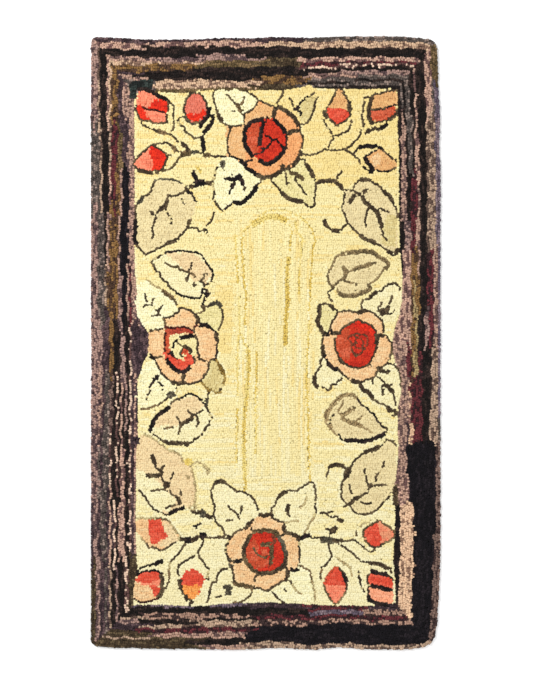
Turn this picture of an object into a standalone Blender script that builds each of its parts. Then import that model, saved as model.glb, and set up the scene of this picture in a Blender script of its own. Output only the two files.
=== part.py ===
# A hooked rug lying flat: one closed slab of hooked wool with a hem turned under.
# The underside is flat, the rim is rounded by the outer row of loops, and the outline
# is as uneven as a hand-hooked rug's.
# Metres. +X to the right, +Y to the rug's top end, +Z up. The origin is at the middle of
# the underside.

import math
from collections import namedtuple

import bpy
import bmesh
from mathutils import Vector
from mathutils.geometry import delaunay_2d_cdt

# Driving dimensions
RUG_WIDTH = 0.718
RUG_LENGTH = 1.260
FOUNDATION_THICKNESS = 0.0015
PILE_HEIGHT = 0.0065
RUG_THICKNESS = FOUNDATION_THICKNESS + PILE_HEIGHT

# How far the hand-hooked top rises and falls, and over what distance
TOP_RIPPLE = 0.0004
RIPPLE_LENGTH = 0.21

# Spacing of the points along the rim and over the top
RIM_STEP = 0.025
TOP_STEP = 0.045
CORNER_STEPS = 5

WOOL_COLOUR = (0.72, 0.62, 0.42, 1.0)
WOOL_ROUGHNESS = 0.95

# Each corner of the outline, going round from the left end of the bottom edge:
# which way it lies from the middle, and its radius
Corner = namedtuple("Corner", "side_x side_y radius")
CORNERS = [
    Corner(side_x=-1, side_y=-1, radius=0.013),
    Corner(side_x=1, side_y=-1, radius=0.028),
    Corner(side_x=1, side_y=1, radius=0.018),
    Corner(side_x=-1, side_y=1, radius=0.011),
]

# How far each edge lies inside the plain rectangle, by its place along the edge
EdgeRow = namedtuple("EdgeRow", "along inset")
BOTTOM_EDGE = [
    EdgeRow(along=-0.36, inset=0.0070),
    EdgeRow(along=-0.30, inset=0.0030),
    EdgeRow(along=-0.20, inset=0.0015),
    EdgeRow(along=-0.08, inset=0.0),
    EdgeRow(along=-0.04, inset=0.0),
    EdgeRow(along=0.02, inset=0.0035),
    EdgeRow(along=0.10, inset=0.0),
    EdgeRow(along=0.16, inset=0.0045),
    EdgeRow(along=0.22, inset=0.0),
    EdgeRow(along=0.29, inset=0.0),
    EdgeRow(along=0.36, inset=0.0050),
]
RIGHT_EDGE = [
    EdgeRow(along=-0.63, inset=0.0130),
    EdgeRow(along=-0.57, inset=0.0060),
    EdgeRow(along=-0.50, inset=0.0025),
    EdgeRow(along=-0.44, inset=0.0),
    EdgeRow(along=0.36, inset=0.0),
    EdgeRow(along=0.41, inset=0.0025),
    EdgeRow(along=0.46, inset=0.0010),
    EdgeRow(along=0.56, inset=0.0050),
    EdgeRow(along=0.63, inset=0.0075),
]
TOP_EDGE = [
    EdgeRow(along=-0.36, inset=0.0),
    EdgeRow(along=-0.33, inset=0.0020),
    EdgeRow(along=-0.22, inset=0.0065),
    EdgeRow(along=-0.15, inset=0.0060),
    EdgeRow(along=-0.09, inset=0.0025),
    EdgeRow(along=-0.05, inset=0.0040),
    EdgeRow(along=0.03, inset=0.0010),
    EdgeRow(along=0.08, inset=0.0025),
    EdgeRow(along=0.16, inset=0.0),
    EdgeRow(along=0.28, inset=0.0),
    EdgeRow(along=0.36, inset=0.0060),
]
LEFT_EDGE = [
    EdgeRow(along=-0.63, inset=0.0),
    EdgeRow(along=-0.22, inset=0.0),
    EdgeRow(along=-0.05, inset=0.0008),
    EdgeRow(along=0.10, inset=0.0),
    EdgeRow(along=0.55, inset=0.0),
    EdgeRow(along=0.63, inset=0.0008),
]

# The rim's rounded section, from the turned-under hem up over the outer loops:
# how far in from the outline, and how high
RimRow = namedtuple("RimRow", "inwards height")
RIM = [
    RimRow(inwards=0.0022, height=0.0),
    RimRow(inwards=0.0012, height=FOUNDATION_THICKNESS),
    RimRow(inwards=0.0, height=0.50 * RUG_THICKNESS),
    RimRow(inwards=0.0005, height=0.74 * RUG_THICKNESS),
    RimRow(inwards=0.0022, height=0.93 * RUG_THICKNESS),
    RimRow(inwards=0.0052, height=RUG_THICKNESS),
]


def edge_inset(edge, along):
    """The inset at one place along an edge, eased from row to row."""
    for before, after in zip(edge, edge[1:]):
        if along <= after.along:
            t = (along - before.along) / (after.along - before.along)
            t = min(max(t, 0.0), 1.0)
            ease = t * t * (3.0 - 2.0 * t)
            return before.inset + (after.inset - before.inset) * ease
    return edge[-1].inset


def uneven(x, y):
    """Moves a point of the plain rounded rectangle in by the insets of the edges around it."""
    half_x = RUG_WIDTH / 2
    half_y = RUG_LENGTH / 2
    left = half_x - edge_inset(LEFT_EDGE, y)
    right = half_x - edge_inset(RIGHT_EDGE, y)
    bottom = half_y - edge_inset(BOTTOM_EDGE, x)
    top = half_y - edge_inset(TOP_EDGE, x)
    new_x = x * (right if x > 0 else left) / half_x
    new_y = y * (top if y > 0 else bottom) / half_y
    return Vector((new_x, new_y))


def straight_points(start, end):
    """Evenly spaced points from start to just before end."""
    steps = max(1, round((end - start).length / RIM_STEP))
    return [start.lerp(end, i / steps) for i in range(steps)]


def corner_arc(corner):
    """The points of one rounded corner, going anticlockwise."""
    centre = Vector((
        corner.side_x * (RUG_WIDTH / 2 - corner.radius),
        corner.side_y * (RUG_LENGTH / 2 - corner.radius),
    ))
    middle = math.atan2(corner.side_y, corner.side_x)
    first = round((middle - math.pi / 4) / (math.pi / 2)) * math.pi / 2
    points = []
    for i in range(CORNER_STEPS + 1):
        angle = first + i / CORNER_STEPS * math.pi / 2
        points.append(centre + corner.radius * Vector((math.cos(angle), math.sin(angle))))
    return points


def outline():
    """The rug's outline seen from above, anticlockwise, as uneven as its edges are."""
    arcs = [corner_arc(corner) for corner in CORNERS]
    plain = []
    for arc, next_arc in zip(arcs, arcs[1:] + arcs[:1]):
        plain.extend(arc[:-1])
        plain.extend(straight_points(arc[-1], next_arc[0]))
    return [uneven(p.x, p.y) for p in plain]


def inward_normals(points):
    """The unit direction into the rug at each point of the outline."""
    normals = []
    count = len(points)
    for i in range(count):
        along = points[(i + 1) % count] - points[i - 1]
        normals.append(Vector((-along.y, along.x)).normalized())
    return normals


def top_height(x, y):
    """The height of the pile, which rises and falls a little over the rug."""
    k = 2.0 * math.pi / RIPPLE_LENGTH
    wave = math.sin(k * x + 1.3 * math.sin(k * 0.6 * y)) * math.cos(k * 0.8 * y + 0.7)
    return RUG_THICKNESS - TOP_RIPPLE * (0.5 + 0.5 * wave)


def top_inner_points(limit_x, limit_y):
    """A staggered grid of points over the flat of the pile, inside the rim."""
    columns = int(2 * limit_x / TOP_STEP)
    rows = int(2 * limit_y / TOP_STEP)
    points = []
    for row in range(rows + 1):
        y = -limit_y + 2 * limit_y * row / rows
        shift = 0.25 if row % 2 else -0.25
        for column in range(columns):
            x = -limit_x + 2 * limit_x * (column + 0.5 + shift) / columns
            points.append(Vector((x, y)))
    return points


def add_ring(bm, points, normals, row):
    """One ring of vertices round the rim."""
    ring = []
    for point, normal in zip(points, normals):
        place = point + normal * row.inwards
        ring.append(bm.verts.new((place.x, place.y, row.height)))
    return ring


def fill_top(bm, ring):
    """Closes the pile's top over its last rim ring, through the points of the flat."""
    boundary = [Vector((v.co.x, v.co.y)) for v in ring]
    inner = top_inner_points(RUG_WIDTH / 2 - TOP_STEP / 2, RUG_LENGTH / 2 - TOP_STEP / 2)
    edges = [(i, (i + 1) % len(ring)) for i in range(len(ring))]
    places, _, triangles, _, _, _ = delaunay_2d_cdt(boundary + inner, edges, [], 1, 1e-7)
    verts = list(ring)
    for place in places[len(ring):]:
        verts.append(bm.verts.new((place.x, place.y, top_height(place.x, place.y))))
    for triangle in triangles:
        bm.faces.new([verts[i] for i in triangle])


def make_rug():
    points = outline()
    normals = inward_normals(points)
    bm = bmesh.new()
    rings = [add_ring(bm, points, normals, row) for row in RIM]
    count = len(points)
    for lower, upper in zip(rings, rings[1:]):
        for i in range(count):
            j = (i + 1) % count
            bm.faces.new((lower[i], lower[j], upper[j], upper[i]))
    bm.faces.new(list(reversed(rings[0])))
    fill_top(bm, rings[-1])
    bmesh.ops.recalc_face_normals(bm, faces=bm.faces)
    mesh = bpy.data.meshes.new("hooked_rug")
    bm.to_mesh(mesh)
    bm.free()
    mesh.shade_smooth()
    mesh.set_sharp_from_angle(angle=math.radians(50))
    rug = bpy.data.objects.new("hooked_rug", mesh)
    bpy.context.scene.collection.objects.link(rug)
    return rug


def wool_material():
    material = bpy.data.materials.new("wool_pile")
    material.use_nodes = True
    shader = material.node_tree.nodes["Principled BSDF"]
    shader.inputs["Base Color"].default_value = WOOL_COLOUR
    shader.inputs["Roughness"].default_value = WOOL_ROUGHNESS
    shader.inputs["Metallic"].default_value = 0.0
    return material


for old in list(bpy.data.objects):
    bpy.data.objects.remove(old)

hooked_rug = make_rug()
hooked_rug.data.materials.append(wool_material())
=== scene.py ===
import math

import bpy
import numpy as np
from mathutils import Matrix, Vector
from mathutils.geometry import delaunay_2d_cdt


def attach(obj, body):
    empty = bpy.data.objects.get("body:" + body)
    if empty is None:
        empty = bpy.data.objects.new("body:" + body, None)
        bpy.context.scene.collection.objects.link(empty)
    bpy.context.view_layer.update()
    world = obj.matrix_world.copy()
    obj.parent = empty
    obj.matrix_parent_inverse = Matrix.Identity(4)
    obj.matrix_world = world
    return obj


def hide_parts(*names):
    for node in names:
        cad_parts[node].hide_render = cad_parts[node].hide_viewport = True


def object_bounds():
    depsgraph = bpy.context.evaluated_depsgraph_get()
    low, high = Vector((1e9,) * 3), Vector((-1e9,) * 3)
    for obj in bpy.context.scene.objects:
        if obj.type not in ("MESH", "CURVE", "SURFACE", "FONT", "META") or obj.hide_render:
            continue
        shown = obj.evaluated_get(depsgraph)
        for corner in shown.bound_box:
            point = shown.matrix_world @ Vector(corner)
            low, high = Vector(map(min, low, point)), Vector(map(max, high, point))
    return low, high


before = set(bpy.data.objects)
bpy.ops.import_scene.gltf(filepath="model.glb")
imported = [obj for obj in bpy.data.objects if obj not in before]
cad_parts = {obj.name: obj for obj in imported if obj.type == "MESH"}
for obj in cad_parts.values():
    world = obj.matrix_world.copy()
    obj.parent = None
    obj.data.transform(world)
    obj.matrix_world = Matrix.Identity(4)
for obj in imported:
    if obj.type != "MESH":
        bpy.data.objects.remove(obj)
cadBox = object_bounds()
mm = 0.001
dice = np.random.default_rng(23)


# Wools: colour and partner colour as screen red, green and blue, how much of the wool is the
# partner, how many loops one strip runs, and how far single loops wander in lightness
def wool(colour, partner, share=0.35, run=6, wander=0.07):
    return {"colour": colour, "partner": partner, "share": share, "run": run, "wander": wander}


wools = {
    "cream": wool((229, 214, 156), (232, 219, 164), 0.3, 12, 0.018),
    "straw": wool((228, 206, 138), (230, 211, 149), 0.3, 12, 0.018),
    "whey": wool((230, 219, 171), (233, 224, 180), 0.35, 12, 0.018),
    "milk": wool((233, 225, 178), (236, 230, 189), 0.35, 8, 0.02),
    "butter": wool((214, 187, 99), (222, 201, 122), 0.35, 7, 0.03),
    "honey": wool((205, 176, 85), (214, 187, 99), 0.35, 5, 0.035),
    "meadow": wool((220, 198, 120), (226, 207, 135), 0.4, 6, 0.025),
    "leafGrey": wool((222, 205, 156), (213, 195, 147), 0.35, 5, 0.025),
    "leafPink": wool((227, 203, 156), (220, 194, 148), 0.35, 5, 0.025),
    "leafGreen": wool((218, 205, 145), (226, 213, 156), 0.35, 5, 0.025),
    "leafGold": wool((206, 188, 129), (216, 201, 145), 0.35, 5, 0.025),
    "peach": wool((224, 159, 103), (229, 168, 114), 0.35, 4, 0.03),
    "peachPale": wool((214, 163, 107), (220, 174, 116), 0.3, 4, 0.03),
    "petal": wool((220, 172, 116), (223, 181, 129), 0.35, 4, 0.03),
    "shell": wool((226, 184, 133), (229, 195, 147), 0.35, 4, 0.03),
    "apricot": wool((230, 144, 70), (235, 159, 85), 0.35, 3, 0.04),
    "salmon": wool((233, 138, 106), (227, 124, 94), 0.35, 3, 0.04),
    "rosyPeach": wool((234, 158, 120), (238, 168, 132), 0.35, 4, 0.03),
    "salmonPink": wool((218, 145, 108), (225, 134, 100), 0.35, 3, 0.04),
    "pink": wool((210, 111, 89), (218, 122, 100), 0.35, 3, 0.035),
    "red": wool((218, 50, 28), (200, 40, 25), 0.35, 3, 0.05),
    "coral": wool((208, 74, 52), (218, 92, 68), 0.35, 3, 0.05),
    "crimson": wool((196, 52, 32), (180, 42, 27), 0.35, 3, 0.06),
    "rust": wool((188, 76, 46), (202, 96, 66), 0.35, 3, 0.06),
    "brick": wool((178, 76, 52), (160, 62, 44), 0.35, 3, 0.06),
    "brownRed": wool((128, 62, 42), (104, 62, 42), 0.4, 2, 0.12),
    "wine": wool((50, 18, 18), (78, 32, 26), 0.3, 2, 0.2),
    "black": wool((28, 22, 20), (50, 38, 34), 0.3, 3, 0.3),
    "navy": wool((18, 15, 19), (30, 25, 29), 0.35, 3, 0.25),
    "slate": wool((80, 71, 66), (136, 118, 108), 0.28, 1.6, 0.16),
    "mauve": wool((174, 140, 122), (104, 80, 76), 0.3, 1.6, 0.12),
    "dustyMauve": wool((160, 129, 118), (90, 70, 70), 0.3, 1.6, 0.13),
    "dustyPink": wool((188, 152, 132), (108, 80, 76), 0.3, 1.6, 0.12),
    "oat": wool((220, 184, 150), (142, 110, 90), 0.24, 1.8, 0.09),
    "sand": wool((200, 168, 138), (128, 100, 84), 0.24, 1.8, 0.09),
    "tan": wool((174, 147, 124), (96, 76, 66), 0.3, 1.6, 0.13),
    "drab": wool((122, 98, 88), (62, 46, 44), 0.3, 1.6, 0.15),
    "ash": wool((164, 130, 112), (62, 46, 44), 0.4, 1.6, 0.15),
    "mustard": wool((128, 96, 57), (76, 55, 42), 0.4, 2, 0.17),
    "maroon": wool((96, 44, 48), (52, 32, 34), 0.4, 2, 0.18),
    "blush": wool((214, 176, 142), (132, 96, 88), 0.3, 1.6, 0.12),
    "beads": wool((216, 186, 162), (92, 66, 62), 0.3, 1.4, 0.12),
    "plum": wool((60, 46, 50), (92, 72, 73), 0.3, 2, 0.2),
    "purple": wool((92, 80, 92), (128, 110, 116), 0.4, 2, 0.15),
    "teal": wool((46, 54, 50), (30, 34, 32), 0.35, 3, 0.2),
    "olive": wool((90, 74, 48), (120, 98, 68), 0.4, 3, 0.16),
    "moss": wool((74, 68, 54), (100, 92, 74), 0.35, 2, 0.15),
    "umber": wool((66, 53, 38), (94, 79, 57), 0.35, 2, 0.18),
    "taupe": wool((138, 118, 82), (104, 88, 60), 0.4, 2, 0.14),
    "hazel": wool((164, 142, 100), (134, 112, 76), 0.4, 2, 0.12),
    "haze": wool((191, 174, 126), (166, 145, 102), 0.4, 2, 0.08),
    "ochre": wool((128, 102, 48), (150, 124, 66), 0.4, 2, 0.12),
    "dots": wool((62, 50, 36), (200, 184, 132), 0.32, 1.2, 0.12),
    "burlap": wool((176, 150, 108), (160, 134, 96), 0.4, 5, 0.05),
}
woolNames = list(wools)


def linear(screen):
    value = np.asarray(screen, float) / 255
    return np.where(value <= 0.04045, value / 12.92, ((value + 0.055) / 1.055) ** 2.4)


# The rug's edges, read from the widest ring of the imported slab
def rugOutline():
    nearMiddle = 0.3
    verts = np.array([v.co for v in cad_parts["hooked_rug"].data.vertices]) / mm
    middle = verts[:, 2].max() / 2
    ring = np.unique(np.round(verts[np.abs(verts[:, 2] - middle) < nearMiddle][:, :2], 3), axis=0)
    return ring[np.argsort(np.arctan2(ring[:, 1], ring[:, 0]))]


outline = rugOutline()
cornerReach = 20.0


def edgeAlong(side):
    # side is the axis across the edge and the way it faces
    axis, way = side
    limit = (outline[:, axis] * way).max() - cornerReach
    points = outline[outline[:, axis] * way > limit]
    points = points[np.argsort(points[:, 1 - axis])]
    return lambda along: np.interp(along, points[:, 1 - axis], points[:, axis])


sides = {"left": (0, -1), "right": (0, 1), "bottom": (1, -1), "top": (1, 1)}
rugEdge = {name: edgeAlong(side) for name, side in sides.items()}

# The inner edge of the border, as place along the side and place across it
field = {
    "left": [(-507, -272), (-466, -264), (-394, -267), (-220, -266), (-199, -262), (-74, -264),
             (-59, -256), (-37, -251), (-25, -243), (-4, -240), (21, -240), (31, -248), (58, -265),
             (109, -265), (150, -269), (499, -270)],
    "right": [(-507, 267), (-446, 262), (-364, 266), (-292, 265), (-240, 272), (-138, 271),
              (-96, 279), (-66, 274), (-39, 266), (-18, 260), (6, 261), (33, 266), (56, 274),
              (88, 280), (136, 281), (191, 276), (263, 274), (397, 274), (438, 271), (520, 271)],
    "bottom": [(-271, -538), (-207, -538), (-158, -541), (-125, -540), (-84, -536), (-1, -533),
               (70, -536), (132, -539), (214, -540), (264, -534)],
    "top": [(-271, 512), (-236, 516), (-166, 514), (-104, 522), (-53, 519), (40, 520), (70, 525),
            (89, 531), (99, 524), (153, 522), (270, 522)],
}


def tableAlong(rows):
    along, place = np.array(rows, float).T
    return lambda at: np.interp(at, along, place)


fieldEdge = {name: tableAlong(rows) for name, rows in field.items()}


def borderPlace(x, y):
    # which side of the border each point belongs to, how deep it lies from the rug's edge,
    # and how far through the border that is
    across = {"left": (x, y), "right": (x, y), "bottom": (y, x), "top": (y, x)}
    depths = []
    shares = []
    for name, (_, way) in sides.items():
        place, along = across[name]
        edge = rugEdge[name](along)
        depths.append((edge - place) * way)
        shares.append((edge - place) / (edge - fieldEdge[name](along)))
    side = np.argmin(shares, axis=0)
    depth = np.take_along_axis(np.array(depths), side[None], 0)[0]
    share = np.take_along_axis(np.array(shares), side[None], 0)[0]
    return side, depth, share


def insidePolygon(x, y, polygon):
    inside = np.zeros(np.shape(x), bool)
    for (ax, ay), (bx, by) in zip(polygon, np.roll(polygon, -1, axis=0)):
        if ay == by:
            continue
        crosses = (ay > y) != (by > y)
        inside ^= crosses & (x < ax + (y - ay) * (bx - ax) / (by - ay))
    return inside


# Lines on the cloth
lineStep = 0.5


def smoothLine(points, closed=False):
    points = np.array(points, float)
    if closed:
        points = np.vstack((points[-1], points, points[:2]))
    else:
        points = np.vstack((2 * points[0] - points[1], points, 2 * points[-1] - points[-2]))
    pieces = []
    for before, start, end, after in zip(points, points[1:], points[2:], points[3:]):
        count = max(2, int(np.linalg.norm(end - start) / lineStep))
        t = (np.arange(count) / count)[:, None]
        bend = 2 * before - 5 * start + 4 * end - after
        curl = 3 * (start - end) + after - before
        pieces.append(start + 0.5 * t * (end - before + t * (bend + t * curl)))
    pieces.append(points[-2][None])
    return np.vstack(pieces)


def straightLine(corners):
    # closed, through corners that may stand far apart
    pieces = []
    for start, end in zip(corners, np.roll(corners, -1, axis=0)):
        count = max(1, int(np.linalg.norm(end - start) / lineStep))
        pieces.append(start + (np.arange(count) / count)[:, None] * (end - start))
    return np.vstack(pieces)


def headings(line):
    step = np.gradient(line, axis=0)
    return np.arctan2(step[:, 1], step[:, 0])


def beside(line, distance):
    turn = headings(line)
    return line + distance * np.column_stack((-np.sin(turn), np.cos(turn)))


# Hooking: every loop is placed where it has room, and remembered
hooking = {
    "rowPitch": 4.6,
    "loopStep": 4.25,
    "lineGap": 3.2,
    "echoGap": 3.9,
    "groundGap": 3.6,
    "fillGap": 3.3,
    "rimInset": 2.3,
    "sway": 0.55,
    "join": 13.0,
    "cell": 0.5,
}


class Hooked:
    def __init__(self, margin=12.0, reach=6.0):
        self.cell = hooking["cell"]
        self.low = outline.min(axis=0) - margin
        size = ((outline.max(axis=0) + margin - self.low) / self.cell).astype(int) + 1
        self.nearest = np.full((size[1], size[0]), 99.0, np.float32)
        self.owner = np.full((size[1], size[0]), -1, np.int32)
        self.span = int(reach / self.cell)
        steps = np.arange(-self.span, self.span + 1) * self.cell
        self.disc = np.hypot(*np.meshgrid(steps, steps)).astype(np.float32)
        self.places = []
        self.turns = []
        self.rows = []
        self.wools = []
        self.row = 0

    def cellOf(self, points):
        return np.round((np.asarray(points) - self.low) / self.cell).astype(int)

    def place(self, point, column, line, turn, wool):
        window = np.s_[
            line - self.span:line + self.span + 1,
            column - self.span:column + self.span + 1,
        ]
        nearer = self.disc < self.nearest[window]
        self.nearest[window][nearer] = self.disc[nearer]
        self.owner[window][nearer] = len(self.places)
        self.places.append(point)
        self.turns.append(turn)
        self.rows.append(self.row)
        self.wools.append(wool)

    def hook(self, line, gap, wool=-1, allowed=None):
        self.row += 1
        if allowed is not None and not allowed.any():
            return
        turns = headings(line)
        cells = self.cellOf(line)
        lengths = np.linalg.norm(np.diff(line, axis=0, prepend=line[:1]), axis=1)
        step = hooking["loopStep"]
        since = step
        for i, (column, row) in enumerate(cells):
            since += lengths[i]
            if since < step or (allowed is not None and not allowed[i]):
                continue
            if self.nearest[row, column] < gap:
                continue
            self.place(line[i], column, row, turns[i], wool)
            since = 0.0

    def fill(self, gap, inside):
        self.row += 1
        rows, columns = np.nonzero((self.nearest >= gap) & inside)
        for i in dice.permutation(len(rows)):
            row, column = rows[i], columns[i]
            if self.nearest[row, column] < gap:
                continue
            owner = self.owner[row, column]
            turn = self.turns[owner] if owner >= 0 else 0.0
            point = self.low + np.array((column, row)) * self.cell
            self.place(point, column, row, turn, -1)


hooked = Hooked()
echoes = []
patches = []
pitch = hooking["rowPitch"]


def wavering(line):
    # a hand-hooked line wavers a little
    along = np.arange(len(line)) * lineStep + dice.uniform(0, 100)
    sway = np.sin(along / 1.9) + 0.8 * np.sin(along / 3.4)
    return beside(line, hooking["sway"] * sway[:, None])


def drawLine(line, woolName, rows=1, echo=True):
    # a drawn line of one or more rows of one wool, with a row of the ground beside it
    number = woolNames.index(woolName)
    line = wavering(line)
    for i in range(rows):
        offset = (i - (rows - 1) / 2) * pitch
        hooked.hook(beside(line, offset), hooking["lineGap"], number)
    if echo:
        reach = (rows + 1) / 2 * pitch
        echoes.extend((beside(line, reach), beside(line, -reach)))


def paint(polygon, woolName, piece):
    patches.append((np.array(polygon), woolNames.index(woolName), piece))


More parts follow.
